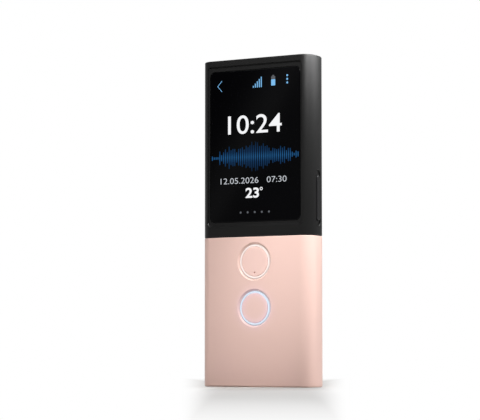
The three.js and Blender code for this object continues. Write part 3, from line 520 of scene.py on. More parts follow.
class Shading:
    """Adds and joins nodes in one material, world or node group."""

    def __init__(self, tree: Tree) -> None:
        """Starts on a tree."""
        self.tree = tree

    def node(self, kind: str, feeds: dict[str | int, Feed] | None = None,
             **settings: str | bool | Tree) -> bpy.types.Node:
        """Adds a node.

        Args:
            kind: the node's type.
            feeds: what goes into its inputs, by their name or place.
            settings: its properties.

        Returns:
            The node.
        """
        made = self.tree.nodes.new(kind)
        for key, value in settings.items():
            setattr(made, key, value)
        for key, value in (feeds or {}).items():
            self.feed(value, made.inputs[key])
        return made

    def feed(self, value: Feed, socket: Wire) -> None:
        """Joins an output to an input, or sets the input's plain value.

        Args:
            value: an output's socket or a plain value.
            socket: the input.
        """
        if isinstance(value, Wire):
            self.tree.links.new(value, socket)
        else:
            socket.default_value = value

    def math(self, how: str, first: Number, second: Number = 0.0, clamp: bool = False) -> Wire:
        """Adds a Math node, whose result can be kept from 0 to 1."""
        made = self.node("ShaderNodeMath", {0: first, 1: second}, operation=how, use_clamp=clamp)
        return made.outputs[0]

    def plus(self, first: Number, second: Number, clamp: bool = False) -> Wire:
        """Adds two numbers."""
        return self.math("ADD", first, second, clamp)

    def minus(self, first: Number, second: Number, clamp: bool = False) -> Wire:
        """Takes the second number from the first."""
        return self.math("SUBTRACT", first, second, clamp)

    def times(self, first: Number, second: Number) -> Wire:
        """Multiplies two numbers."""
        return self.math("MULTIPLY", first, second)

    def over(self, first: Number, second: Number, clamp: bool = False) -> Wire:
        """Divides the first number by the second."""
        return self.math("DIVIDE", first, second, clamp)

    def size(self, value: Number) -> Wire:
        """A number without its sign."""
        return self.math("ABSOLUTE", value)

    def split(self, vector: Wire) -> dict[str, Wire]:
        """A vector's parts under X, Y and Z."""
        made = self.node("ShaderNodeSeparateXYZ", {0: vector})
        return {axis: made.outputs[axis] for axis in "XYZ"}

    def along(self, vector: Wire, way: Place) -> Wire:
        """How far a vector goes along a direction."""
        made = self.node("ShaderNodeVectorMath", {0: vector, 1: way}, operation="DOT_PRODUCT")
        return made.outputs["Value"]

    def ramp(self, value: Wire, low: float, high: float) -> Wire:
        """A soft step from 0 to 1 between two values.

        Args:
            value: what is compared with them.
            low: where the step starts.
            high: where it ends.

        Returns:
            The step's socket.
        """
        made = self.node("ShaderNodeMapRange", {"From Min": low, "From Max": high, "Value": value},
                         interpolation_type="SMOOTHSTEP")
        return made.outputs["Result"]

    def noise(self, vector: Wire, scale: Number, detail: float) -> Wire:
        """A noise pattern's value, by how fine it is and how many finer layers it has."""
        feeds = {"Vector": vector, "Scale": scale, "Detail": detail}
        return self.node("ShaderNodeTexNoise", feeds).outputs[0]

    def mix(self, share: Number, first: Tint, second: Tint, blend: str = "MIX") -> Wire:
        """Mixes two colours.

        Args:
            share: how much of the second.
            first: a socket or a colour.
            second: a socket or a colour.
            blend: how they are mixed.

        Returns:
            The mixed colour's socket.
        """
        feeds = {MIX_SHARE: share, MIX_FIRST: first, MIX_SECOND: second}
        made = self.node("ShaderNodeMix", feeds, data_type="RGBA", blend_type=blend)
        return made.outputs[MIX_RESULT]


def linear(colour: Colour) -> Paint:
    """A colour written as 0 to 255 display values, as the shader takes it.

    Args:
        colour: its red, green and blue.

    Returns:
        The linear colour with full alpha.
    """
    knee, slope, lift, power, full = 0.04045, 12.92, 0.055, 2.4, 255
    shares = [value / full for value in colour]
    parts = [share / slope if share <= knee else ((share + lift) / (1 + lift)) ** power
             for share in shares]
    return (parts[0], parts[1], parts[2], 1.0)


def new_group(name: str, inputs: list[Input], outputs: list[tuple[str, str]],
              kind: str = SHADER_TREE) -> tuple[Shading, dict[str, Wire]]:
    """Starts a node group.

    Args:
        name: the group's name.
        inputs: (name, socket type, default or None) of each input.
        outputs: (name, socket type) of each output.
        kind: the type of its tree.

    Returns:
        Its tree to add nodes to, and its inputs' sockets under their names.
    """
    tree = bpy.data.node_groups.new(name, kind)
    for label, socket_type, default in inputs:
        socket = tree.interface.new_socket(name=label, in_out="INPUT", socket_type=socket_type)
        if default is not None:
            socket.default_value = default
    for label, socket_type in outputs:
        tree.interface.new_socket(name=label, in_out="OUTPUT", socket_type=socket_type)
    shading = Shading(tree)
    given = shading.node("NodeGroupInput")
    return shading, {label: given.outputs[label] for label, _, _ in inputs}


def new_growth(name: str, inputs: list[Input]) -> tuple[Shading, dict[str, Wire]]:
    """Starts a geometry node tree, which also takes the material that it sets."""
    inputs = [("Geometry", GEOMETRY, None), *inputs, ("Material", MATERIAL, None)]
    return new_group(name, inputs, [("Geometry", GEOMETRY)], GEOMETRY_TREE)


def new_material(name: str, **plain: float | Paint
                 ) -> tuple[bpy.types.Material, Shading, bpy.types.Node]:
    """Starts a material with plain values on its shader's own sockets.

    Args:
        name: the material's name.
        plain: the shader's values, with _ for a space.

    Returns:
        The material, its tree to add nodes to and its shader.
    """
    material = bpy.data.materials.new(name)
    material.use_nodes = True
    shading = Shading(material.node_tree)
    shader = material.node_tree.nodes["Principled BSDF"]
    for label, value in plain.items():
        shading.feed(value, shader.inputs[label.replace("_", " ")])
    return material, shading, shader


def surface_grain_group() -> Tree:
    """Fine moulded texture with a slow drift of tone, for every plastic, resin and paint.

    Returns:
        The group's tree.
    """
    shading, given = new_group("Surface Grain", [
        ("Vector", VECTOR, None), ("Colour", COLOUR, (0.5, 0.5, 0.5, 1)),
        ("Grain Scale", FLOAT, 4000.0), ("Tone Drift", FLOAT, 0.03), ("Roughness", FLOAT, 0.5),
        ("Roughness Spread", FLOAT, 0.06)],
        [("Colour", COLOUR), ("Roughness", FLOAT), ("Height", FLOAT)])
    slow_scale, middle = 45.0, 0.5
    grain = shading.noise(given["Vector"], given["Grain Scale"], detail=3.0)
    slow = shading.noise(given["Vector"], slow_scale, detail=2.0)
    both = shading.plus(shading.minus(grain, middle), shading.minus(slow, middle))
    value = shading.plus(shading.times(both, given["Tone Drift"]), 1.0)
    tone = shading.node("ShaderNodeHueSaturation", {"Color": given["Colour"], "Value": value})
    spread = shading.times(both, given["Roughness Spread"])
    rough = shading.plus(spread, given["Roughness"], clamp=True)
    shading.node("NodeGroupOutput", {"Colour": tone.outputs[0], "Roughness": rough,
                                     "Height": grain})
    return shading.tree


def brushed_group() -> Tree:
    """Drawn lines along one direction, for sheet metal, steel and gold.

    Returns:
        The group's tree.
    """
    shading, given = new_group("Brushed Lines", [
        ("Vector", VECTOR, None), ("Colour", COLOUR, (0.7, 0.7, 0.7, 1)),
        ("Line Scale", FLOAT, 900.0), ("Roughness", FLOAT, 0.3), ("Roughness Spread", FLOAT, 0.15)],
        [("Colour", COLOUR), ("Roughness", FLOAT), ("Height", FLOAT)])
    drawn_out, middle, tone_share = (1.0, 1.0, 0.04), 0.5, 0.25
    stretch = shading.node("ShaderNodeMapping", {"Scale": drawn_out, "Vector": given["Vector"]})
    lines = shading.noise(stretch.outputs[0], given["Line Scale"], detail=4.0)
    level = shading.minus(lines, middle)
    spread = shading.times(level, given["Roughness Spread"])
    rough = shading.plus(spread, given["Roughness"], clamp=True)
    value = shading.plus(shading.times(level, tone_share), 1.0)
    tone = shading.node("ShaderNodeHueSaturation", {"Color": given["Colour"], "Value": value})
    shading.node("NodeGroupOutput", {"Colour": tone.outputs[0], "Roughness": rough,
                                     "Height": lines})
    return shading.tree


def handling_group() -> Tree:
    """Faint wipe marks that only change the gloss, for every polished face.

    Returns:
        The group's tree.
    """
    shading, given = new_group("Handling Marks", [
        ("Vector", VECTOR, None), ("Roughness", FLOAT, 0.06), ("Marks", FLOAT, 0.04)],
        [("Roughness", FLOAT)])
    drawn_out, turned = (1.0, 1.0, 0.35), (0.0, math.radians(35), 0.0)
    wipe_scale, clean = 90.0, 0.45
    wipes = shading.node("ShaderNodeMapping", {"Scale": drawn_out, "Rotation": turned,
                                               "Vector": given["Vector"]})
    cloud = shading.noise(wipes.outputs[0], wipe_scale, detail=5.0)
    above = shading.times(shading.minus(cloud, clean, clamp=True), given["Marks"])
    rough = shading.plus(above, given["Roughness"], clamp=True)
    shading.node("NodeGroupOutput", {"Roughness": rough})
    return shading.tree


def traces_group() -> Tree:
    """Parallel conductor runs under a film or solder mask, for boards and flexes.

    Returns:
        The group's tree.
    """
    shading, given = new_group("Conductor Runs", [
        ("Vector", VECTOR, None), ("Base", COLOUR, (0, 0.2, 0.1, 1)),
        ("Run", COLOUR, (0.3, 0.4, 0.1, 1)), ("Pitch", FLOAT, 1200.0), ("Share", FLOAT, 0.5)],
        [("Colour", COLOUR), ("Height", FLOAT)])
    block_scale, turned_share = 260.0, 0.42
    blocks = shading.node("ShaderNodeTexVoronoi", {"Scale": block_scale, "Vector": given["Vector"]},
                          distance="CHEBYCHEV", feature="F1")
    parts = shading.split(given["Vector"])
    flip = shading.math("GREATER_THAN", blocks.outputs["Distance"], turned_share)
    across = shading.times(parts["X"], given["Pitch"])
    along = shading.times(parts["Z"], given["Pitch"])
    kept = shading.times(across, shading.minus(1.0, flip))
    saw = shading.math("FRACT", shading.plus(kept, shading.times(along, flip)))
    run = shading.math("LESS_THAN", saw, given["Share"])
    shading.node("NodeGroupOutput", {"Colour": shading.mix(run, given["Base"], given["Run"]),
                                     "Height": run})
    return shading.tree


def ring_glow_group() -> Tree:
    """Light that a lit ring spills on what surrounds it, for the shell and the buttons.

    Returns:
        The group's tree.
    """
    shading, given = new_group("Ring Glow", [
        ("Vector", VECTOR, None), ("Height", FLOAT, 0.04), ("Radius", FLOAT, 0.006),
        ("Reach", FLOAT, 0.0012), ("Colour", COLOUR, (0.4, 0.4, 1, 1))],
        [("Glow", COLOUR)])
    front_edge, euler, dark = -0.004, 2.718, (0, 0, 0, 1)
    parts = shading.split(given["Vector"])
    rise = shading.minus(parts["Z"], given["Height"])
    square = shading.plus(shading.times(rise, rise), shading.times(parts["X"], parts["X"]))
    away = shading.size(shading.minus(shading.math("SQRT", square), given["Radius"]))
    fall = shading.math("POWER", euler, shading.times(-1.0, shading.over(away, given["Reach"])))
    share = shading.times(fall, shading.math("LESS_THAN", parts["Y"], front_edge))
    shading.node("NodeGroupOutput", {"Glow": shading.mix(share, dark, given["Colour"])})
    return shading.tree


@dataclass(frozen=True)
class Glow:
    """A lit ring's spill on a finish."""

    height: float
    colour: Colour
    reach: float


@dataclass(frozen=True)
class Finish:
    """How one material looks: its colour as display values, gloss and close-up pattern."""

    name: str
    colour: Colour
    pattern: Pattern = Pattern.MOULDED
    roughness: float = 0.5
    metallic: float = 0.0
    specular: float = 0.5
    coat: float = 0.0
    coat_roughness: float = 0.1
    scale: float = 4000.0
    spread: float = 0.06
    drift: float = 0.04
    bump: float = 0.05
    second: Colour = (0, 0, 0)
    light: Colour | None = None
    strength: float = 1.0
    glows: tuple[Glow, ...] = ()


class MaterialShelf:
    """Builds each finish once and hands out its material."""

    clear_ior = 1.45
    board_share = 0.42
    flex_share = 0.6
    bump_distance = 0.05

    def __init__(self) -> None:
        """Builds the shared shader groups."""
        self.groups = {
            Effect.GRAIN: surface_grain_group(),
            Effect.BRUSHED: brushed_group(),
            Effect.HANDLING: handling_group(),
            Effect.TRACES: traces_group(),
            Effect.GLOW: ring_glow_group(),
        }
        self.made: dict[str, bpy.types.Material] = {}

    def place(self, shading: Shading, key: Effect, vector: Wire,
              **values: float | Paint) -> bpy.types.Node:
        """Places a shared group in a material.

        Args:
            shading: the material's tree.
            key: which group.
            vector: the coordinates that it works on.
            values: its inputs, with _ for a space.

        Returns:
            The group's node.
        """
        feeds = {label.replace("_", " "): value for label, value in values.items()}
        return shading.node("ShaderNodeGroup", {"Vector": vector, **feeds},
                            node_tree=self.groups[key])

    def get(self, finish: Finish) -> bpy.types.Material:
        """The material of a finish, built when it is first asked for.

        Args:
            finish: what it looks like.

        Returns:
            The material.
        """
        if finish.name not in self.made:
            self.made[finish.name] = self.build(finish)
        return self.made[finish.name]

    def build(self, finish: Finish) -> bpy.types.Material:
        """Builds a finish's material.

        Args:
            finish: what it looks like.

        Returns:
            The material.
        """
        material, shading, shader = new_material(
            finish.name, Base_Color=linear(finish.colour), Metallic=finish.metallic,
            Roughness=finish.roughness, Specular_IOR_Level=finish.specular,
            Coat_Weight=finish.coat, Coat_Roughness=finish.coat_roughness)
        vector = shading.node("ShaderNodeTexCoord").outputs["Object"]
        height = self.dress(shading, shader, vector, finish)
        if height is not None:
            bump = shading.node("ShaderNodeBump", {
                "Strength": finish.bump, "Distance": self.bump_distance * MM, "Height": height})
            shading.feed(bump.outputs[0], shader.inputs["Normal"])
        if finish.light is not None:
            shader.inputs["Emission Color"].default_value = linear(finish.light)
            shader.inputs["Emission Strength"].default_value = finish.strength
        elif finish.glows:
            self.spill(shading, shader, vector, finish)
        return material

    def dress(self, shading: Shading, shader: bpy.types.Node, vector: Wire,
              finish: Finish) -> Wire | None:
        """Adds the nodes of a finish's pattern.

        Args:
            shading: the material's tree.
            shader: its Principled BSDF.
            vector: object coordinates.
            finish: what it looks like.

        Returns:
            The height for the bump, or None.
        """
        colour, pattern, taken = linear(finish.colour), finish.pattern, shader.inputs
        if pattern in (Pattern.POLISHED, Pattern.CLEAR):
            marks = self.place(shading, Effect.HANDLING, vector, Roughness=finish.roughness,
                               Marks=finish.spread)
            shading.feed(marks.outputs["Roughness"], taken["Roughness"])
            if pattern is Pattern.CLEAR:
                taken["Transmission Weight"].default_value = 1.0
                taken["IOR"].default_value = self.clear_ior
            return None
        if pattern is Pattern.BRUSHED:
            lines = self.place(shading, Effect.BRUSHED, vector, Colour=colour,
                               Line_Scale=finish.scale, Roughness=finish.roughness,
                               Roughness_Spread=finish.spread)
            shading.feed(lines.outputs["Colour"], taken["Base Color"])
            shading.feed(lines.outputs["Roughness"], taken["Roughness"])
            return lines.outputs["Height"]
        grain = self.place(shading, Effect.GRAIN, vector, Colour=colour, Grain_Scale=finish.scale,
                           Tone_Drift=finish.drift, Roughness=finish.roughness,
                           Roughness_Spread=finish.spread)
        shading.feed(grain.outputs["Roughness"], taken["Roughness"])
        if pattern in (Pattern.CIRCUIT, Pattern.TRACES):
            share = self.board_share if pattern is Pattern.CIRCUIT else self.flex_share
            runs = self.place(shading, Effect.TRACES, vector, Base=colour,
                              Run=linear(finish.second), Pitch=finish.scale, Share=share)
            shading.feed(runs.outputs["Colour"], taken["Base Color"])
            return runs.outputs["Height"]
        shading.feed(grain.outputs["Colour"], taken["Base Color"])
        if pattern is Pattern.WOVEN:
            return self.weave(shading, vector, finish.scale)
        if pattern is Pattern.FOAM:
            cells = shading.node("ShaderNodeTexVoronoi", {"Scale": finish.scale, "Vector": vector},
                                 feature="DISTANCE_TO_EDGE")
            return cells.outputs["Distance"]
        return grain.outputs["Height"]

    @staticmethod
    def weave(shading: Shading, vector: Wire, scale: float) -> Wire:
        """Crossed threads, as a height.

        Args:
            shading: the material's tree.
            vector: object coordinates.
            scale: threads for each metre, over two pi.

        Returns:
            The height's socket.
        """
        parts = shading.split(vector)
        waves = [shading.math("SINE", shading.times(parts[axis], scale)) for axis in "XZ"]
        return shading.times(*waves)

    def spill(self, shading: Shading, shader: bpy.types.Node, vector: Wire,
              finish: Finish) -> None:
        """Adds the light that the lit rings spill on this finish.

        Args:
            shading: the material's tree.
            shader: its Principled BSDF.
            vector: object coordinates.
            finish: what it looks like.
        """
        shares = [self.place(shading, Effect.GLOW, vector, Height=glow.height * MM,
                             Radius=AT.ring_middle * MM, Reach=glow.reach * MM,
                             Colour=linear(glow.colour)).outputs["Glow"] for glow in finish.glows]
        total = shares[0]
        for share in shares[1:]:
            total = shading.mix(1.0, total, share, blend="ADD")
        shading.feed(total, shader.inputs["Emission Color"])
        shader.inputs["Emission Strength"].default_value = finish.strength


WARM_SPILL = Glow(AT.upper_button, (46, 38, 36), 0.5)
COOL_SPILL = Glow(AT.lower_button, (84, 80, 128), 1.0)
WARM_CORE = Glow(AT.upper_button, (233, 221, 217), 0.6)
COOL_CORE = Glow(AT.lower_button, (204, 218, 228), 0.6)


def screen_light(name: str, colour: Colour, light: Colour) -> Finish:
    """The finish of a lit shape on the display."""
    return Finish(name, colour, Pattern.POLISHED, roughness=0.1, specular=0.1, light=light)


BLACK_SHELL = Finish("black_shell", (9, 9, 9), roughness=0.42, specular=0.28, scale=5200.0,
                     drift=0.10, spread=0.08, bump=0.10)
ROSE_SHELL = Finish("rose_shell", (222, 189, 179), roughness=0.40, metallic=0.12, specular=0.35,
                    scale=6000.0, drift=0.012, spread=0.05, bump=0.03,
                    glows=(WARM_SPILL, COOL_SPILL))
ROSE_BUTTON = replace(ROSE_SHELL, name="rose_button", colour=(225, 192, 183), roughness=0.36)
BLACK_KEY = Finish("black_key", (20, 20, 21), roughness=0.34, specular=0.3, scale=5200.0,
                   drift=0.08)
DISPLAY_GLASS = Finish("display_glass", (2, 2, 3), Pattern.POLISHED, roughness=0.05,
                       specular=0.12, spread=0.05)
WARM_GUIDE = Finish("warm_light_guide", (150, 138, 134), roughness=0.35, specular=0.3,
                    glows=(WARM_CORE,), drift=0.01)
COOL_GUIDE = replace(WARM_GUIDE, name="cool_light_guide", colour=(136, 140, 152),
                     glows=(COOL_CORE,))
LENS_BEZEL = Finish("lens_bezel", (8, 8, 9), Pattern.POLISHED, roughness=0.16)
LENS_GLASS = Finish("lens_glass", (255, 255, 255), Pattern.CLEAR, roughness=0.0, spread=0.01)
LENS_COATING = Finish("lens_coating", (14, 10, 40), Pattern.POLISHED, roughness=0.04, specular=0.9,
                      coat=1.0, coat_roughness=0.02)
LENS_BARREL = Finish("lens_barrel", (12, 12, 13), roughness=0.45, specular=0.3, scale=3000.0)
FLASH_LENS = Finish("flash_lens", (250, 247, 240), Pattern.CLEAR, roughness=0.12, spread=0.05)
FLASH_RIM = Finish("flash_rim", (150, 147, 138), Pattern.BRUSHED, roughness=0.28, metallic=0.9)
PHOSPHOR = Finish("phosphor", (214, 200, 150), roughness=0.6, scale=2500.0, drift=0.12)
SHEET_METAL = Finish("sheet_metal", (186, 188, 192), Pattern.BRUSHED, roughness=0.34, metallic=0.9,
                     scale=700.0, spread=0.2)
SCREW_STEEL = Finish("screw_steel", (150, 152, 156), Pattern.BRUSHED, roughness=0.3,
                     metallic=0.95, scale=2600.0)
GOLD = Finish("gold_contact", (212, 168, 88), Pattern.BRUSHED, roughness=0.28, metallic=0.95,
              scale=2000.0)
CIRCUIT = Finish("circuit_board", (22, 66, 40), Pattern.CIRCUIT, roughness=0.45, scale=1500.0,
                 second=(38, 96, 56), coat=0.3, bump=0.4)
FLEX = Finish("flex_film", (148, 84, 30), Pattern.TRACES, roughness=0.38, scale=2200.0,
              second=(184, 122, 62), bump=0.4)
CHIP = Finish("chip_resin", (34, 35, 38), roughness=0.55, scale=5000.0, drift=0.25)
WHITE_RESIN = Finish("white_resin", (240, 238, 232), scale=3000.0)
BATTERY_WRAP = Finish("battery_wrap", (142, 148, 156), Pattern.BRUSHED, roughness=0.42,
                      metallic=0.6, scale=160.0, spread=0.3, bump=0.5)
FOAM_TAPE = Finish("foam_tape", (30, 30, 30), Pattern.FOAM, roughness=0.9, specular=0.2,
                   scale=2600.0, bump=0.8)
ACOUSTIC_MESH = Finish("acoustic_mesh", (16, 16, 17), Pattern.WOVEN, roughness=0.8, specular=0.2,
                       scale=22000.0, bump=0.8)
LCD_GLASS = Finish("lcd_glass", (10, 10, 13), Pattern.POLISHED, roughness=0.12)
ICON_BLUE = screen_light("icon_light", (4, 6, 8), (126, 190, 240))
DIGIT_WHITE = screen_light("digit_light", (6, 6, 6), (246, 247, 249))
LINE_WHITE = screen_light("line_light", (6, 6, 6), (196, 200, 206))
DOT_GREY = screen_light("dot_light", (6, 6, 6), (92, 95, 100))

SLOT_FINISH = {finish.name: finish for finish in (
    BLACK_SHELL, ROSE_SHELL, ROSE_BUTTON, BLACK_KEY, DISPLAY_GLASS, LCD_GLASS, LENS_GLASS,
    LENS_BEZEL, FLASH_LENS, SHEET_METAL, SCREW_STEEL, CIRCUIT, FLEX, CHIP, WHITE_RESIN, GOLD,
    BATTERY_WRAP, FOAM_TAPE, ACOUSTIC_MESH)}
SLOT_FINISH["light_guide"] = COOL_GUIDE


@dataclass(frozen=True)
class LevelLight:
    """The level bars' light, deep blue with a brighter core."""

    name: str = "level_light"
    base: Colour = (3, 5, 8)
    roughness: float = 0.1
    specular: float = 0.1
    core: Colour = (30, 88, 138)
    middle: Colour = (13, 54, 94)
    tip: Colour = (5, 26, 48)
    middle_share: float = 0.35
    reach: float = 5.4

    def build(self) -> bpy.types.Material:
        """Builds the material.

        Returns:
            The material, which glows by the height over the bars' middle line.
        """
        material, shading, shader = new_material(
            self.name, Base_Color=linear(self.base), Roughness=self.roughness,
            Specular_IOR_Level=self.specular, Emission_Strength=1.0)
        parts = shading.split(shading.node("ShaderNodeTexCoord").outputs["Object"])
        away = shading.size(shading.minus(parts["Z"], AT.bars_z * MM))
        share = shading.over(away, self.reach * MM, clamp=True)
        tones = shading.node("ShaderNodeValToRGB", {0: share})
        tones.color_ramp.elements[0].color = linear(self.core)
        tones.color_ramp.elements[1].color = linear(self.tip)
        tones.color_ramp.elements.new(self.middle_share).color = linear(self.middle)
        shading.feed(tones.outputs[0], shader.inputs["Emission Color"])
        return material


# What the assemblies share

# How far a cutter runs past the face that it opens
PAST = 1.0
MOUTH_STEPS = 5
HOLLOW_STEPS = 24


@dataclass
class Assembly:
    """What every sub-assembly shares: the shelf of materials and how a piece is handed over."""

    shelf: MaterialShelf

    def hand_over(self, made: Solid, finish: Finish | None, slot: str,
                  body: str = HANDSET, replaces: tuple[str, ...] = ()) -> Solid:
        """Gives a piece its material and its body.

        Args:
            made: the piece.
            finish: what it looks like, or None where its mesh already has its material.
            slot: the record's material slot; not used.
            body: the CAD body that it rides on.
            replaces: the CAD nodes that it stands for.

        Returns:
            The piece.
        """
        if finish is not None:
            made.data.materials.clear()
            made.data.materials.append(self.shelf.get(finish))
        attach(made, body)
        if replaces:
            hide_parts(*replaces)
        LOG.info("%s: %d faces, rides on %s", made.name, len(made.data.polygons), body)
        return made


def bar_body(name: str, low: float, high: float, low_round: float = 0.0,
             high_round: float = 0.0) -> Solid:
    """A length of the bar, with rounded ends.

    Args:
        name: the object's name.
        low: its lower end.
        high: its upper end.
        low_round: the radius of its lower edge.
        high_round: the radius of its upper edge.

    Returns:
        The new object.
    """
    rings = [(low + rise, skin_points(back, BODY.arc_steps))
             for rise, back in round_insets(low_round, BODY.round_steps)]
    rings += [(high - rise, skin_points(back, BODY.arc_steps))
              for rise, back in reversed(round_insets(high_round, BODY.round_steps))]
    return loft(name, rings, Axis.Z)


def bar_hollow(low: float, high: float) -> Solid:
    """The space inside the bar's walls, used only to cut."""
    rings = [(level, bar_points(BODY.wall, HOLLOW_STEPS)) for level in (low, high)]
    return loft("cavity", rings, Axis.Z)


def rear_cutter() -> Solid:
    """Everything behind the seam between front housings and back covers."""
    return box("rear", (-REACH, BODY.seam, -REACH), (REACH, REACH, REACH))


def fore_cutter() -> Solid:
    """Everything before the seam between front housings and back covers."""
    return box("fore", (-REACH, -REACH, -REACH), (REACH, BODY.seam, REACH))


def growing_pill(width: float, height: float, x: float, y: float) -> Growth:
    """A slot's outline that can be grown by a length."""
    return lambda more: pill_points(width + 2 * more, height + 2 * more, x, y)


def growing_circle(radius: float, count: int, x: float, y: float) -> Growth:
    """A circle that can be grown by a length."""
    return lambda more: circle_points(radius + more, count, x, y)


def opening(name: str, axis: Axis, surface: float, direction: int, floor: float, edge: float,
            grown: Growth) -> Solid:
    """A cutter whose mouth flares into a rounded edge.

    Args:
        name: the object's name.
        axis: the axis that it cuts along.
        surface: the level of the face that it opens.
        direction: 1 where the outside lies towards higher levels, or -1.
        floor: the level that it reaches.
        edge: the radius of the rounded edge at the face.
        grown: gives the outline grown by a length.

    Returns:
        The cutter.
    """
    rings = [(floor, grown(0.0)), (surface - direction * edge, grown(0.0))]
    for step in range(1, MOUTH_STEPS + 1):
        angle = math.pi / 2 * step / MOUTH_STEPS
        rings.append((surface - direction * edge * (1 - math.sin(angle)),
                      grown(edge * (1 - math.cos(angle)))))
    rings.append((surface + direction * PAST, grown(edge)))
    return loft(name, rings, axis)


@dataclass(frozen=True)
class Mouth:
    """A side key's opening: its width, how much longer than the key, its depth and its edge."""

    width: float
    longer: float
    depth: float
    edge: float


# Assemblies


@dataclass
class GrilleTree:
    """A node tree that sets round holes on a diamond grid, smaller towards its edge."""

    name: str = "grille_holes"
    pitch: float = 2.55
    columns: int = 11
    rows: int = 7
    radius: float = 0.75
    edge_share: float = 0.55
    length: float = 4.0
    limit_share: float = 0.25
    hole_sides: int = 20

    def inputs(self) -> list[Input]:
        """The tree's inputs with their values: the grid's pitch and counts, and the holes.

        Returns:
            The name, socket type and value of each.
        """
        return [("Pitch", FLOAT, self.pitch * MM), ("Columns", WHOLE, self.columns),
                ("Rows", WHOLE, self.rows), ("Hole Radius", FLOAT, self.radius * MM),
                ("Edge Share", FLOAT, self.edge_share), ("Depth", FLOAT, self.length * MM)]

    def build(self) -> Tree:
        """Builds the tree.

        Returns:
            The tree, with its named inputs.
        """
        work, given = new_growth(self.name, self.inputs())
        pitch, columns, rows = (given[key] for key in ("Pitch", "Columns", "Rows"))
        width = work.times(work.minus(columns, 1.0), pitch)
        height = work.times(work.minus(rows, 1.0), pitch)
        grid = work.node("GeometryNodeMeshGrid", {0: width, 1: height, 2: columns, 3: rows})
        place = work.node("GeometryNodeInputPosition").outputs[0]
        parts = work.split(place)
        span = work.plus(work.size(parts["X"]), work.size(parts["Y"]))
        limit = work.plus(work.times(width, 0.5), work.times(pitch, self.limit_share))
        outside = work.node("FunctionNodeCompare", {0: span, 1: limit}, data_type="FLOAT",
                            operation="GREATER_THAN")
        keep = work.node("GeometryNodeDeleteGeometry", {
            "Geometry": grid.outputs["Mesh"], "Selection": outside.outputs[0]}, domain="POINT")
        away = work.node("ShaderNodeVectorMath", {0: place}, operation="LENGTH")
        far = work.over(away.outputs["Value"], work.times(width, 0.5))
        loss = work.times(far, work.minus(1.0, given["Edge Share"]))
        size = work.times(given["Hole Radius"], work.minus(1.0, loss))
        drill = work.node("GeometryNodeMeshCylinder", {
            "Vertices": self.hole_sides, "Radius": 1.0, "Depth": given["Depth"]})
        spread = work.node("ShaderNodeCombineXYZ", {"X": size, "Y": size, "Z": 1.0})
        lay = work.node("GeometryNodeInstanceOnPoints", {
            "Points": keep.outputs[0], "Instance": drill.outputs["Mesh"],
            "Scale": spread.outputs[0]})
        stand = work.node("GeometryNodeTransform", {
            "Rotation": (math.pi / 2, 0.0, 0.0), "Geometry": lay.outputs[0]})
        real = work.node("GeometryNodeRealizeInstances", {0: stand.outputs[0]})
        paint = work.node("GeometryNodeSetMaterial", {
            "Geometry": real.outputs[0], "Material": given["Material"]})
        work.node("NodeGroupOutput", {"Geometry": paint.outputs[0]})
        return work.tree


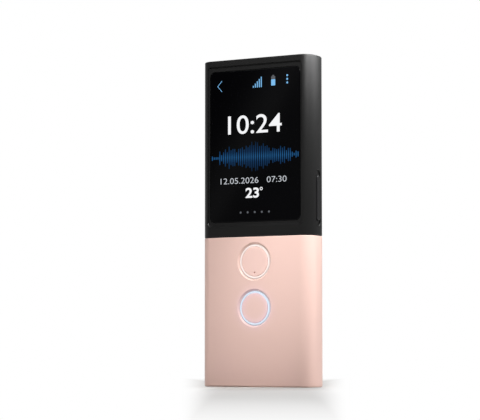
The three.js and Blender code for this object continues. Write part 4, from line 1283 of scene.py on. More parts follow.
@dataclass
class UpperHalf(Assembly):
    """The black half: front housing with the display recess, and back cover with its openings."""

    recess_low: float = 59.3
    recess_high: float = 119.7
    recess_corner: float = 1.5
    low_slope: float = 0.72
    groove_half: float = 19.3
    groove_width: float = 0.55
    groove_depth: float = 0.45
    glass_low: float = 61.0
    glass_high: float = 117.7
    glass_half: float = 19.1
    glass_corner: float = 2.0
    panel_half: float = 17.3
    panel_low: float = 63.35
    panel_high: float = 115.35
    gap: float = 0.15
    overlap: float = 0.3
    lip_top: float = 57.7
    scoop: Mouth = Mouth(3.2, 3.9, 0.5, 0.42)
    slot: Mouth = Mouth(2.9, 0.3, 2.6, 0.08)
    tray_slot: Point = (2.4, 13.2)
    tray_slot_depth: float = 2.6
    camera_radius: float = 4.08
    camera_edge: float = 0.18
    barrel_radius: float = 3.05
    barrel_floor: float = 4.0
    barrel_overlap: float = 0.2
    flash_radius: float = 1.72
    flash_floor: float = 4.6
    flash_edge: float = 0.15
    camera_sides: int = 72
    flash_sides: int = 48

    def shell(self, name: str) -> Solid:
        """The whole hollow upper half, with the wall that carries the display.

        Args:
            name: the object's name.

        Returns:
            The new object.
        """
        outer = bar_body(name, BODY.split, BODY.height, low_round=BODY.split_round,
                         high_round=BODY.end_round)
        cavity = bar_hollow(BODY.split - PAST, BODY.height - BODY.wall)
        wall = box("display_wall", (-REACH, -REACH, self.lip_top), (REACH, BODY.bezel_back, REACH))
        carve(cavity, wall)
        return carve(outer, cavity)

    def key_cutters(self, side: int, length: float, height: float) -> list[Solid]:
        """The scoop round a side key and the slot that it stands in.

        Args:
            side: 1 on the right, -1 on the left.
            length: the key's length.
            height: the key's middle.

        Returns:
            The cutters.
        """
        surface = side * BODY.side
        sunk = surface - side * self.scoop.depth
        scoop = opening("scoop", Axis.X, surface, side, sunk, self.scoop.edge,
                        growing_pill(self.scoop.width, length + self.scoop.longer, 0, height))
        slot = opening("slot", Axis.X, sunk, side, surface - side * self.slot.depth,
                       self.slot.edge,
                       growing_pill(self.slot.width, length + self.slot.longer, 0, height))
        return [scoop, slot]

    def tray_cutter(self) -> Solid:
        """The slot for the SIM tray in the left side.

        Returns:
            The cutter.
        """
        outline = pill_points(*self.tray_slot, AT.tray_y, AT.tray_z)
        return loft("tray_slot", [(-BODY.side - PAST, outline),
                                  (-BODY.side + self.tray_slot_depth, outline)], Axis.X)

    def recess_outline(self, share: float) -> list[Point]:
        """The recess's outline, a share of the way down its sloping lower wall.

        Args:
            share: how far down, from 0 at the face to 1 at the ledge.

        Returns:
            The points in turn.
        """
        low, high = self.recess_low + share * self.low_slope, self.recess_high
        return rounded_points(2 * BODY.flat_half, high - low, self.recess_corner, 0,
                              (high + low) / 2)

    def glass_outline(self, more: float) -> list[Point]:
        """The glass's outline.

        Args:
            more: the length that it is grown by.

        Returns:
            The points in turn.
        """
        return rounded_points(2 * (self.glass_half + more),
                              self.glass_high - self.glass_low + 2 * more,
                              self.glass_corner + more, 0, (self.glass_high + self.glass_low) / 2)

    def front(self) -> None:
        """Builds the front housing."""
        made = carve(self.shell("front_housing_upper"), rear_cutter())
        recess = loft("recess", [
            (-BODY.half_depth - PAST, self.recess_outline(-1.0)),
            (-BODY.half_depth, self.recess_outline(0.0)),
            (BODY.ledge, self.recess_outline(1.0))], Axis.Y)
        groove = box("groove", (-self.groove_half, -BODY.half_depth - PAST,
                                self.recess_high - self.groove_width),
                     (self.groove_half, BODY.ledge + self.groove_depth, self.recess_high))
        pocket = loft("pocket", [(BODY.ledge - self.overlap, self.glass_outline(self.gap)),
                                 (BODY.bezel_front, self.glass_outline(self.gap))], Axis.Y)
        half = self.panel_half + self.gap
        window = box("window", (-half, BODY.bezel_front - self.overlap, self.panel_low - self.gap),
                     (half, BODY.bezel_back + self.overlap, self.panel_high + self.gap))
        carve(made, recess, groove, pocket, window,
              *self.key_cutters(1, AT.volume_length, AT.volume_z),
              *self.key_cutters(-1, AT.power_length, AT.power_z), self.tray_cutter())
        self.hand_over(polish(made), BLACK_SHELL, "black_shell", replaces=("upper_front_housing",))

    def grille(self) -> Solid:
        """The speaker's holes as one cutter, laid out by a node tree on a diamond grid.

        Returns:
            The cutter.
        """
        plan = GrilleTree()
        return grown_mesh("grille_cutter", plan.build(), plan.inputs(),
                          self.shelf.get(BLACK_SHELL), (0.0, BODY.half_depth, AT.speaker_z))

    def back(self) -> None:
        """Builds the back cover."""
        made = carve(self.shell("back_cover_upper"), fore_cutter())
        seat = BODY.half_depth - AT.camera_seat_depth
        camera = opening("camera_hole", Axis.Y, BODY.half_depth, 1, seat, self.camera_edge,
                         growing_circle(self.camera_radius, self.camera_sides, AT.camera_x,
                                        AT.camera_z))
        barrel = lathe("barrel_hole", [(self.barrel_radius, self.barrel_floor),
                                       (self.barrel_radius, seat + self.barrel_overlap)],
                       AT.camera_x, AT.camera_z)
        flash = opening("flash_hole", Axis.Y, BODY.half_depth, 1, self.flash_floor,
                        self.flash_edge, growing_circle(self.flash_radius, self.flash_sides,
                                                        AT.flash_x, AT.camera_z))
        carve(made, camera, barrel, flash, self.grille())
        self.hand_over(polish(made), BLACK_SHELL, "black_shell", replaces=("upper_back_cover",))

    def build(self) -> None:
        """Builds both pieces."""
        self.front()
        self.back()


@dataclass
class LowerHalf(Assembly):
    """The rose half: front housing with the buttons' dishes, and back cover with the cord slot."""

    dish_radius: float = 7.15
    dish_depth: float = 0.55
    dish_steps: int = 8
    dish_sides: int = 120
    ring_hole: float = 6.5
    socket_slot: Point = (9.24, 3.46)
    cord_slot: Point = (3.2, 1.7)
    cord_slot_depth: float = 0.5
    slot_edge: float = 0.15
    cord_x: float = 7.2
    cord_z: float = 2.2
    shelf_half: float = 2.4
    shelf_reach: float = 2.15
    shelf_root: float = 0.4
    shelf_low: float = 3.9
    shelf_high: float = 4.7

    def shell(self, name: str) -> Solid:
        """The whole hollow lower half.

        Args:
            name: the object's name.

        Returns:
            The new object.
        """
        outer = bar_body(name, 0.0, BODY.split, low_round=BODY.foot_round,
                         high_round=BODY.split_round)
        return carve(outer, bar_hollow(BODY.wall, BODY.split + PAST))

    def dish(self, height: float) -> Solid:
        """The soft dish and hole for one button.

        Args:
            height: the button's middle.

        Returns:
            The cutter.
        """
        front = -BODY.half_depth
        profile = [(self.dish_radius, front - PAST), (self.dish_radius, front)]
        for step in range(1, self.dish_steps + 1):
            share = step / self.dish_steps
            fall = (1 - math.cos(math.pi * share)) / 2
            profile.append((self.dish_radius + (self.ring_hole - self.dish_radius) * share,
                            front + self.dish_depth * fall))
        profile.append((self.ring_hole, -BODY.inner + PAST))
        return lathe("dish", profile, 0.0, height, self.dish_sides)

    def front(self) -> None:
        """Builds the front housing."""
        made = carve(self.shell("front_housing_lower"), rear_cutter())
        socket = opening("socket_slot", Axis.Z, 0.0, -1, BODY.wall + PAST, self.slot_edge,
                         growing_pill(*self.socket_slot, AT.socket_x, AT.socket_y))
        carve(made, self.dish(AT.upper_button), self.dish(AT.lower_button), socket)
        self.hand_over(polish(made), ROSE_SHELL, "rose_shell", replaces=("lower_front_housing",))

    def back(self) -> None:
        """Builds the back cover."""
        made = carve(self.shell("back_cover_lower"), fore_cutter())
        shelf = box("shelf", (self.cord_x - self.shelf_half, BODY.inner - self.shelf_reach,
                              self.shelf_low),
                    (self.cord_x + self.shelf_half, BODY.inner + self.shelf_root,
                     self.shelf_high))
        carve(made, shelf, how=Carving.JOIN)
        slot = opening("cord_slot", Axis.Y, BODY.half_depth, 1, BODY.inner - self.cord_slot_depth,
                       self.slot_edge, growing_pill(*self.cord_slot, self.cord_x, self.cord_z))
        carve(made, slot)
        self.hand_over(polish(made), ROSE_SHELL, "rose_shell", replaces=("lower_back_cover",))

    def build(self) -> None:
        """Builds both pieces."""
        self.front()
        self.back()


@dataclass
class TalkButton(Assembly):
    """One round talk button and the light guide round it."""

    name: str = "upper"
    height: float = AT.upper_button
    leg_side: int = 1
    guide: Finish = WARM_GUIDE
    microphone: bool = True
    sides: int = 120
    top: float = -6.4
    cap_radius: float = 5.48
    rim: float = 0.2
    rim_steps: int = 5
    dish: float = 0.1
    dish_steps: int = 12
    flange_radius: float = 6.2
    flange_front: float = -4.75
    flange_back: float = -4.25
    plunger_radius: float = 1.4
    plunger_end: float = -3.15
    sound_radius: float = 0.34
    sound_depth: float = 1.6
    sound_below: float = 4.05
    sound_sides: int = 24
    ring_inner: float = 5.62
    crown: float = 6.12
    groove: float = -5.9
    ring_outer: float = 6.45
    ring_back: float = -4.85
    ring_flange: float = 7.4
    soft: float = 0.12
    soft_share: float = 0.3
    leg_half: float = 1.2
    leg_front: float = -5.25
    leg_back: float = -2.9
    leg_reach: Point = (6.65, 7.3)

    def cap(self) -> None:
        """Builds the cap, its flange and its plunger."""
        flat = self.cap_radius - self.rim
        shares = [step / self.dish_steps for step in range(self.dish_steps + 1)]
        profile = [(flat * share, self.top + self.dish * (1 - share ** 2) ** 2)
                   for share in shares]
        profile += [(self.cap_radius - rise, self.top + back)
                    for rise, back in reversed(round_insets(self.rim, self.rim_steps))]
        profile += [(self.cap_radius, self.flange_front), (self.flange_radius, self.flange_front),
                    (self.flange_radius, self.flange_back),
                    (self.plunger_radius, self.flange_back),
                    (self.plunger_radius, self.plunger_end), (0.0, self.plunger_end)]
        made = lathe(f"{self.name}_talk_cap", profile, 0.0, self.height, self.sides)
        if self.microphone:
            sink = lathe("sound_hole", [(self.sound_radius, self.top - PAST),
                                        (self.sound_radius, self.top + self.sound_depth)],
                         0.0, self.height - self.sound_below, self.sound_sides)
            carve(made, sink)
        self.hand_over(polish(made), ROSE_BUTTON, "rose_button", f"{self.name}_talk_button",
                       (f"{self.name}_button",))

    def ring(self) -> None:
        """Builds the light guide with its leg to the lamp."""
        soft, near = self.soft, self.soft * self.soft_share
        profile = [
            (self.ring_inner, self.ring_back), (self.ring_inner, self.top + soft),
            (self.ring_inner + near, self.top + near), (self.ring_inner + soft, self.top),
            (self.crown - soft, self.top), (self.crown - near, self.top + near),
            (self.crown, self.top + soft), (self.crown + soft, self.groove - near),
            (self.crown + 2 * soft, self.groove), (self.ring_outer, self.groove),
            (self.ring_outer, -BODY.inner), (self.ring_flange, -BODY.inner),
            (self.ring_flange, self.ring_back)]
        made = lathe(f"{self.name}_light_guide", profile, 0.0, self.height, self.sides,
                     closed=True)
        ends = sorted(self.height + self.leg_side * reach for reach in self.leg_reach)
        leg = box("leg", (-self.leg_half, self.leg_front, ends[0]),
                  (self.leg_half, self.leg_back, ends[1]))
        carve(made, leg, how=Carving.JOIN)
        self.hand_over(polish(made), self.guide, "light_guide",
                       replaces=(f"{self.name}_light_ring",))

    def build(self) -> None:
        """Builds both pieces."""
        self.cap()
        self.ring()


@dataclass
class LevelBarTree:
    """A node tree that sets upright bars in a row, with heights that rise and fall."""

    depth: float
    name: str = "level_bars"
    count: int = 46
    width: float = 36.4
    bar_width: float = 0.4
    tall: float = 11.0
    short: float = 0.9
    seed: int = 7
    swell: Point = (2.9, 0.28)
    beat: Point = (9.5, 0.16)
    chance: Point = (0.28, 0.68)

    def inputs(self) -> list[Input]:
        """The tree's inputs with their values: the row's sizes and the seed.

        Returns:
            The name, socket type and value of each.
        """
        return [("Count", WHOLE, self.count), ("Width", FLOAT, self.width * MM),
                ("Bar Width", FLOAT, self.bar_width * MM), ("Tall", FLOAT, self.tall * MM),
                ("Short", FLOAT, self.short * MM), ("Depth", FLOAT, self.depth * MM),
                ("Seed", WHOLE, self.seed)]

    def build(self) -> Tree:
        """Builds the tree.

        Returns:
            The tree, with its named inputs.
        """
        work, given = new_growth(self.name, self.inputs())
        half = work.times(given["Width"], 0.5)
        ends = [work.node("ShaderNodeCombineXYZ", {"X": across}).outputs[0]
                for across in (work.times(half, -1.0), half)]
        row = work.node("GeometryNodeMeshLine", {
            "Count": given["Count"], "Start Location": ends[0], "Offset": ends[1]},
            mode="END_POINTS")
        parts = work.split(work.node("GeometryNodeInputPosition").outputs[0])
        along = work.over(parts["X"], half)
        waves = [work.times(work.math("COSINE", work.times(along, turns)), share)
                 for turns, share in (self.swell, self.beat)]
        low, high = self.chance
        chance = work.node("FunctionNodeRandomValue", {2: low, 3: high, "Seed": given["Seed"]},
                           data_type="FLOAT")
        share = work.plus(chance.outputs[1], work.plus(*waves), clamp=True)
        height = work.math("MAXIMUM", work.times(share, given["Tall"]), given["Short"])
        bar = work.node("GeometryNodeMeshCube", {"Size": (1.0, 1.0, 1.0)})
        size = work.node("ShaderNodeCombineXYZ", {
            "X": given["Bar Width"], "Y": given["Depth"], "Z": height})
        lay = work.node("GeometryNodeInstanceOnPoints", {
            "Points": row.outputs[0], "Instance": bar.outputs["Mesh"], "Scale": size.outputs[0]})
        real = work.node("GeometryNodeRealizeInstances", {0: lay.outputs[0]})
        paint = work.node("GeometryNodeSetMaterial", {
            "Geometry": real.outputs[0], "Material": given["Material"]})
        work.node("NodeGroupOutput", {"Geometry": paint.outputs[0]})
        return work.tree


@dataclass(frozen=True)
class Patch:
    """A rectangle with round corners on the display."""

    width: float
    height: float
    corner: float
    x: float
    z: float

    def outline(self) -> list[Point]:
        """Its outline."""
        return rounded_points(self.width, self.height, self.corner, self.x, self.z)


@dataclass(frozen=True)
class Label:
    """Plain numbers on the display: the text, where it stands and how bold it is."""

    name: str
    text: str
    left: float
    low: float
    height: float
    width: float
    weight: float


CLOCK = Label("screen_clock", "10:24", -11.4, 93.8, 7.0, 22.8, 0.004)
DATE = Label("screen_date", "12.05.2026   07:30", -14.6, 75.3, 2.2, 28.0, -0.006)
DEGREES = Label("screen_degrees", "23", -3.9, 69.8, 3.8, 5.7, 0.024)


@dataclass
class Display(Assembly):
    """The cover glass and the lit symbols on it."""

    upper: UpperHalf
    front: float = BODY.ledge
    proud: float = 0.012
    sink: float = 0.03
    glass_edge: tuple[Point, ...] = ((0.22, 0.0), (0.12, 0.02), (0.05, 0.07), (0.0, 0.17))
    glass_angle: float = 50.0
    stroke_steps: int = 8
    arrow_tip: Point = (-15.9, 112.25)
    arrow_ends: tuple[Point, ...] = ((-14.1, 114.2), (-14.1, 110.3))
    arrow_weight: float = 0.2
    signal_left: float = -0.55
    signal_low: float = 110.85
    signal_pitch: float = 0.84
    signal_width: float = 0.4
    signal_short: float = 0.7
    signal_rise: float = 0.8
    signal_corner: float = 0.1
    signal_count: int = 5
    battery_level: Patch = Patch(1.7, 2.3, 0.2, 7.86, 112.3)
    battery_shade: tuple[Patch, ...] = (Patch(1.7, 1.1, 0.2, 7.86, 114.05),
                                        Patch(0.8, 0.4, 0.1, 7.86, 114.85))
    menu_x: float = 13.74
    menu_radius: float = 0.38
    menu_heights: tuple[float, ...] = (114.55, 113.2, 111.85)
    menu_sides: int = 24
    degree_place: Point = (2.75, 73.1)
    degree_radii: Point = (0.62, 0.34)
    degree_sides: int = 32
    page_left: float = -6.0
    page_low: float = 64.5
    page_pitch: float = 3.0
    page_radius: float = 0.4
    page_count: int = 5
    page_sides: int = 20
    text_depth: float = 0.5
    text_steps: int = 6

    @property
    def levels(self) -> Point:
        """The outer and inner level of the lit plates."""
        return self.front - self.proud, self.front + self.sink

    def glass(self) -> None:
        """Builds the cover glass with its polished edge."""
        outline = self.upper.glass_outline
        rings = [(self.front + back, outline(-rise)) for rise, back in self.glass_edge]
        rings.append((BODY.glass_back, outline(0.0)))
        made = polish(loft("cover_glass", rings, Axis.Y), self.glass_angle)
        self.hand_over(made, DISPLAY_GLASS, "display_glass", replaces=("display_glass",))

    def plate(self, outline: list[Point]) -> Solid:
        """One lit shape, as a thin plate in the glass's face."""
        return loft("plate", [(level, outline) for level in self.levels], Axis.Y)

    def stroke(self, start: Point, end: Point, width: float) -> Solid:
        """A straight line with round ends.

        Args:
            start: its first end.
            end: its second end.
            width: how thick it is.

        Returns:
            The plate.
        """
        turn = math.atan2(end[1] - start[1], end[0] - start[0])
        outline = []
        for centre, offset in ((end, -math.pi / 2), (start, math.pi / 2)):
            for step in range(self.stroke_steps + 1):
                angle = turn + offset + math.pi * step / self.stroke_steps
                outline.append((centre[0] + width / 2 * math.cos(angle),
                                centre[1] + width / 2 * math.sin(angle)))
        return self.plate(outline)

    def digits(self, label: Label) -> Solid:
        """Plain numbers as a thin plate.

        Args:
            label: the text and its place.

        Returns:
            The plate.
        """
        curve = bpy.data.curves.new(label.name, "FONT")
        curve.body = label.text
        curve.extrude = self.text_depth
        curve.offset = label.weight
        curve.resolution_u = self.text_steps
        source = linked(label.name, curve)
        bpy.context.view_layer.update()
        graph = bpy.context.evaluated_depsgraph_get()
        mesh = bpy.data.meshes.new_from_object(source.evaluated_get(graph))
        bpy.data.objects.remove(source)
        across = [vertex.co.x for vertex in mesh.vertices]
        along = [vertex.co.y for vertex in mesh.vertices]
        low_x, high_x, low_y, high_y = min(across), max(across), min(along), max(along)
        outer, inner = self.levels
        for vertex in mesh.vertices:
            x = label.left + (vertex.co.x - low_x) / (high_x - low_x) * label.width
            z = label.low + (vertex.co.y - low_y) / (high_y - low_y) * label.height
            vertex.co = Vector((x, outer if vertex.co.z > 0 else inner, z)) * MM
        return linked(label.name, mesh)

    def icons(self) -> None:
        """Builds the back arrow, signal bars, battery level and menu dots."""
        parts = [self.stroke(self.arrow_tip, end, self.arrow_weight) for end in self.arrow_ends]
        for index in range(self.signal_count):
            tall = self.signal_short + self.signal_rise * index
            bar = Patch(self.signal_width, tall, self.signal_corner,
                        self.signal_left + index * self.signal_pitch, self.signal_low + tall / 2)
            parts.append(self.plate(bar.outline()))
        parts.append(self.plate(self.battery_level.outline()))
        parts += [self.plate(circle_points(self.menu_radius, self.menu_sides, self.menu_x, z))
                  for z in self.menu_heights]
        self.hand_over(polish(merge("screen_icons", *parts)), ICON_BLUE, "display_glass")
        rest = merge("screen_icon_shade", *[self.plate(patch.outline())
                                            for patch in self.battery_shade])
        self.hand_over(polish(rest), DOT_GREY, "display_glass")

    def numbers(self) -> None:
        """Builds the clock, the date, the temperature and the page dots."""
        self.hand_over(self.digits(CLOCK), DIGIT_WHITE, "display_glass")
        self.hand_over(self.digits(DATE), LINE_WHITE, "display_glass")
        degrees = self.digits(DEGREES)
        outer, inner = self.levels
        wide, narrow = (circle_points(radius, self.degree_sides, *self.degree_place)
                        for radius in self.degree_radii)
        ring = loft("degree", [(outer, wide), (outer, narrow), (inner, narrow), (inner, wide)],
                    Axis.Y, closed=True)
        self.hand_over(merge("screen_degree_count", degrees, ring), DIGIT_WHITE, "display_glass")
        dots = [self.plate(circle_points(self.page_radius, self.page_sides,
                                         self.page_left + self.page_pitch * index, self.page_low))
                for index in range(self.page_count)]
        self.hand_over(merge("screen_page_dots", *dots), DOT_GREY, "display_glass")

    def level_bars(self) -> None:
        """Builds the row of sound level bars across the screen."""
        plan = LevelBarTree(self.proud + self.sink)
        middle = self.front + (self.sink - self.proud) / 2
        made = grown_mesh("screen_level_bars", plan.build(), plan.inputs(), LevelLight().build(),
                          (0.0, middle, AT.bars_z))
        self.hand_over(made, None, "display_glass")

    def build(self) -> None:
        """Builds the glass and everything lit on it."""
        self.glass()
        self.icons()
        self.numbers()
        self.level_bars()


@dataclass
class SideKey(Assembly):
    """A key in one side: a rounded bar on a flange, with nubs that reach its switches."""

    name: str = "volume"
    node: str = "volume_rocker"
    body: str = "volume_key"
    side: int = 1
    length: float = AT.volume_length
    height: float = AT.volume_z
    nubs: tuple[float, ...] = (5.5, -5.5)
    outer: float = 23.55
    width: float = 2.6
    edge: float = 0.3
    edge_steps: int = 6
    flange_levels: Point = (21.0, 21.6)
    flange_width: float = 4.2
    flange_longer: float = 2.0
    nub_levels: Point = (20.15, 21.15)
    nub_radius: float = 0.7
    nub_sides: int = 20

    def build(self) -> None:
        """Builds the key."""
        rings = [(self.flange_levels[0], pill_points(self.width, self.length, 0, self.height))]
        for rise, back in reversed(round_insets(self.edge, self.edge_steps)):
            rings.append((self.outer - rise, pill_points(
                self.width - 2 * back, self.length - 2 * back, 0, self.height)))
        cap = self.sided(f"{self.name}_key_cap", rings)
        plate = pill_points(self.flange_width, self.length + self.flange_longer, 0, self.height)
        flange = self.sided("flange", [(level, plate) for level in self.flange_levels])
        nubs = []
        for z in self.nubs:
            outline = circle_points(self.nub_radius, self.nub_sides, 0, self.height + z)
            nubs.append(self.sided("nub", [(level, outline) for level in self.nub_levels]))
        carve(cap, flange, *nubs, how=Carving.JOIN)
        self.hand_over(polish(cap), BLACK_KEY, "black_key", self.body, (self.node,))

    def sided(self, name: str, rings: list[Ring]) -> Solid:
        """A body lofted outwards on the key's own side."""
        return loft(name, [(self.side * level, outline) for level, outline in rings], Axis.X)


@dataclass
class SimDrawer(Assembly):
    """The SIM tray, with a face that follows the side of the bar and a pin hole in it."""

    face: Point = (2.2, 13.0)
    face_depth: float = 1.5
    half_thick: float = 0.5
    tongue_start: float = 1.35
    tongue_end: float = 16.2
    tongue_half: float = 5.2
    pocket_start: float = 2.55
    pocket_end: float = 15.15
    pocket_half: float = 4.55
    pocket_floor: float = 0.3
    pin_radius: float = 0.45
    pin_above: float = 4.6
    pin_depth: float = 1.1
    pin_sides: int = 24

    def build(self) -> None:
        """Builds the tray."""
        outer, front, back = -BODY.side, AT.tray_y - self.half_thick, AT.tray_y + self.half_thick
        outline = pill_points(*self.face, AT.tray_y, AT.tray_z)
        face = loft("sim_tray_body", [(outer - PAST, outline), (outer + self.face_depth, outline)],
                    Axis.X)
        carve(face, bar_body("side_form", BODY.split, BODY.height), how=Carving.OVERLAP)
        tongue = box("tongue", (outer + self.tongue_start, front, AT.tray_z - self.tongue_half),
                     (outer + self.tongue_end, back, AT.tray_z + self.tongue_half))
        carve(face, tongue, how=Carving.JOIN)
        pocket = box("pocket", (outer + self.pocket_start, front + self.pocket_floor,
                                AT.tray_z - self.pocket_half),
                     (outer + self.pocket_end, back + PAST, AT.tray_z + self.pocket_half))
        outline = circle_points(self.pin_radius, self.pin_sides, AT.tray_y,
                                AT.tray_z + self.pin_above)
        pin = loft("pin", [(outer - PAST, outline), (outer + self.pin_depth, outline)], Axis.X)
        carve(face, pocket, pin)
        self.hand_over(polish(face), BLACK_SHELL, "black_shell", "sim_drawer", ("sim_tray",))


@dataclass
class Optics(Assembly):
    """Camera ring, window and lens, and the flash."""

    ring_sunk: float = 0.06
    ring_inner: float = 2.6
    ring_bore: float = 3.1
    ring_outer: float = 4.0
    foot: float = 0.35
    ring_edge: tuple[Point, ...] = ((4.0, 0.3), (3.95, 0.12), (3.85, 0.03), (3.7, 0.0),
                                    (3.35, 0.0), (3.2, 0.04), (3.1, 0.16))
    window_radius: float = 3.0
    window_thick: float = 0.4
    window_edge: float = 0.08
    mount: tuple[Point, ...] = ((2.5, 5.3), (2.5, 6.02), (2.2, 6.02), (2.05, 5.82), (1.85, 5.82),
                                (1.7, 5.66), (1.5, 5.66), (1.4, 5.5), (1.4, 5.3))
    mount_angle: float = 20.0
    lens_radius: float = 1.39
    lens_back: float = 5.3
    lens_edge: float = 5.42
    lens_rise: float = 0.3
    lens_steps: int = 8
    lens_angle: float = 40.0
    flash_sunk: float = 0.1
    flash_flange: float = 2.2
    flash_thick: float = 0.4
    flash_radius: float = 1.38
    flash_edge: Point = (1.36, 0.05)
    flash_middle: float = 0.08
    flash_steps: tuple[float, ...] = (1.1, 0.82, 0.54, 0.28)
    step_width: float = 0.12
    step_low: float = 0.12
    step_high: float = 0.02
    flash_angle: float = 15.0
    rim_radii: Point = (1.4, 1.64)
    rim_edge: float = 0.06
    rim_lift: float = 0.02
    sides: int = 96
    ring_sides: int = 112
    lens_sides: int = 72
    flash_sides: int = 64

    def camera(self, name: str, profile: list[Point], sides: int, closed: bool = False) -> Solid:
        """A body turned about the camera's axis."""
        return lathe(name, profile, AT.camera_x, AT.camera_z, sides, closed)

    def ring(self) -> None:
        """Builds the camera's ring and its window."""
        seat = BODY.half_depth - AT.camera_seat_depth
        top, low = BODY.half_depth - self.ring_sunk, seat + self.foot
        profile = [(self.ring_inner, seat), (self.ring_outer, seat)]
        profile += [(radius, top - down) for radius, down in self.ring_edge]
        profile += [(self.ring_bore, low), (self.ring_inner, low)]
        made = self.camera("camera_bezel", profile, self.ring_sides, closed=True)
        self.hand_over(polish(made), LENS_BEZEL, "lens_bezel", replaces=("camera_ring",))
        high = low + self.window_thick
        window = [(0.0, low), (self.window_radius, low),
                  (self.window_radius, low + (self.window_thick - self.window_edge)),
                  (self.window_radius - self.window_edge, high), (0.0, high)]
        made = self.camera("camera_glass", window, self.sides)
        self.hand_over(polish(made), LENS_GLASS, "lens_glass", replaces=("camera_window",))

    def lens(self) -> None:
        """Builds the lens and its stepped mount."""
        made = self.camera("lens_mount", list(self.mount), self.sides, closed=True)
        self.hand_over(polish(made, self.mount_angle), LENS_BARREL, "lens_bezel")
        turns = [math.pi / 2 * step / self.lens_steps for step in range(self.lens_steps + 1)]
        profile = [(0.0, self.lens_back), (self.lens_radius, self.lens_back)]
        profile += [(self.lens_radius * math.cos(turn),
                     self.lens_edge + self.lens_rise * math.sin(turn)) for turn in turns]
        made = self.camera("lens_element", profile, self.lens_sides)
        self.hand_over(polish(made, self.lens_angle), LENS_COATING, "lens_glass")

    def flash(self) -> None:
        """Builds the flash's stepped lens and its rim."""
        inner, face = BODY.inner, BODY.half_depth - self.flash_sunk
        low, high = face - self.step_low, face - self.step_high
        profile = [(0.0, inner - self.flash_thick), (self.flash_flange, inner - self.flash_thick),
                   (self.flash_flange, inner), (self.flash_radius, inner),
                   (self.flash_edge[0], face - self.flash_edge[1])]
        for radius in self.flash_steps:
            profile += [(radius + self.step_width, low), (radius, high)]
        profile.append((0.0, face - self.flash_middle))
        made = lathe("flash_window", profile, AT.flash_x, AT.camera_z, self.flash_sides)
        self.hand_over(polish(made, self.flash_angle), FLASH_LENS, "flash_lens",
                       replaces=("flash_lens",))
        near, far = self.rim_radii
        foot, edge = inner + self.rim_lift, self.rim_edge
        rim = [(near, foot), (far, foot), (far, face - edge), (far - edge, face),
               (near + edge, face), (near, face - edge)]
        made = lathe("flash_rim", rim, AT.flash_x, AT.camera_z, self.flash_sides, closed=True)
        self.hand_over(polish(made), FLASH_RIM, "flash_lens")

    def build(self) -> None:
        """Builds every piece of the optics."""
        self.ring()
        self.lens()
        self.flash()


@dataclass
class Socket(Assembly):
    """The charging socket's drawn shell, tongue and contacts."""

    low: float = 0.3
    mouth: Point = (8.7, 2.92)
    outside: Point = (8.94, 3.16)
    inside: Point = (8.34, 2.56)
    flare: float = 0.12
    length: float = 7.3
    hollow_depth: float = 6.2
    tongue_tip: Place = (6.4, 0.5, 0.15)
    tongue: Place = (6.7, 0.7, 0.2)
    tongue_levels: Place = (1.6, 1.75, 7.0)
    tongue_steps: int = 3
    pad_count: int = 12
    pad_pitch: float = 0.5
    pad_half: float = 0.13
    pad_thick: float = 0.02
    pad_levels: Point = (1.9, 5.0)

    def slot(self, level: float, size: Point) -> Ring:
        """A slot round the socket's axis at a height over its mouth."""
        return self.low + level, pill_points(*size, AT.socket_x, AT.socket_y)

    def blade(self, level: float, size: Place) -> Ring:
        """The tongue's outline at a height over the mouth."""
        return self.low + level, rounded_points(*size, AT.socket_x, AT.socket_y,
                                                self.tongue_steps)

    def build(self) -> None:
        """Builds the socket."""
        shell = loft("charging_socket", [
            self.slot(0.0, self.mouth), self.slot(self.flare, self.outside),
            self.slot(self.length, self.outside)], Axis.Z)
        hollow = loft("hollow", [self.slot(-PAST, self.inside),
                                 self.slot(self.hollow_depth, self.inside)], Axis.Z)
        tip, start, end = self.tongue_levels
        tongue = loft("tongue", [self.blade(tip, self.tongue_tip), self.blade(start, self.tongue),
                                 self.blade(end, self.tongue)], Axis.Z)
        carve(shell, hollow)
        carve(shell, tongue, how=Carving.JOIN)
        self.hand_over(polish(shell), SHEET_METAL, "sheet_metal", replaces=("usb_socket",))
        middle, thick, pads = (self.pad_count - 1) / 2, self.pad_thick, []
        foot, head = (self.low + level for level in self.pad_levels)
        for side in (-1, 1):
            y = AT.socket_y + side * self.tongue[1] / 2
            for index in range(self.pad_count):
                x = AT.socket_x + (index - middle) * self.pad_pitch
                pads.append(box("pad", (x - self.pad_half, y - thick, foot),
                                (x + self.pad_half, y + thick, head)))
        self.hand_over(merge("socket_contacts", *pads), GOLD, "gold_contact")


@dataclass
class Inside(Assembly):
    """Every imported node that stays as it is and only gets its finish."""

    phosphor: tuple[str, ...] = ("flash_led",)

    def build(self) -> None:
        """Dresses the nodes that are still shown."""
        slots = {row["node"]: row["material_slot"] for row in frame["record"]["subparts"]}
        for name, node in sorted(frame["nodes"].items()):
            if node.hide_render:
                continue
            finish = PHOSPHOR if name in self.phosphor else SLOT_FINISH[slots[name]]
            node.data.materials.clear()
            node.data.materials.append(self.shelf.get(finish))
            LOG.info("%s: packed node, finish %s", name, finish.name)


# Studio


class LampKind(Enum):
    """The form of a lamp's light."""

    PANEL = "AREA"
    BEAM = "SPOT"


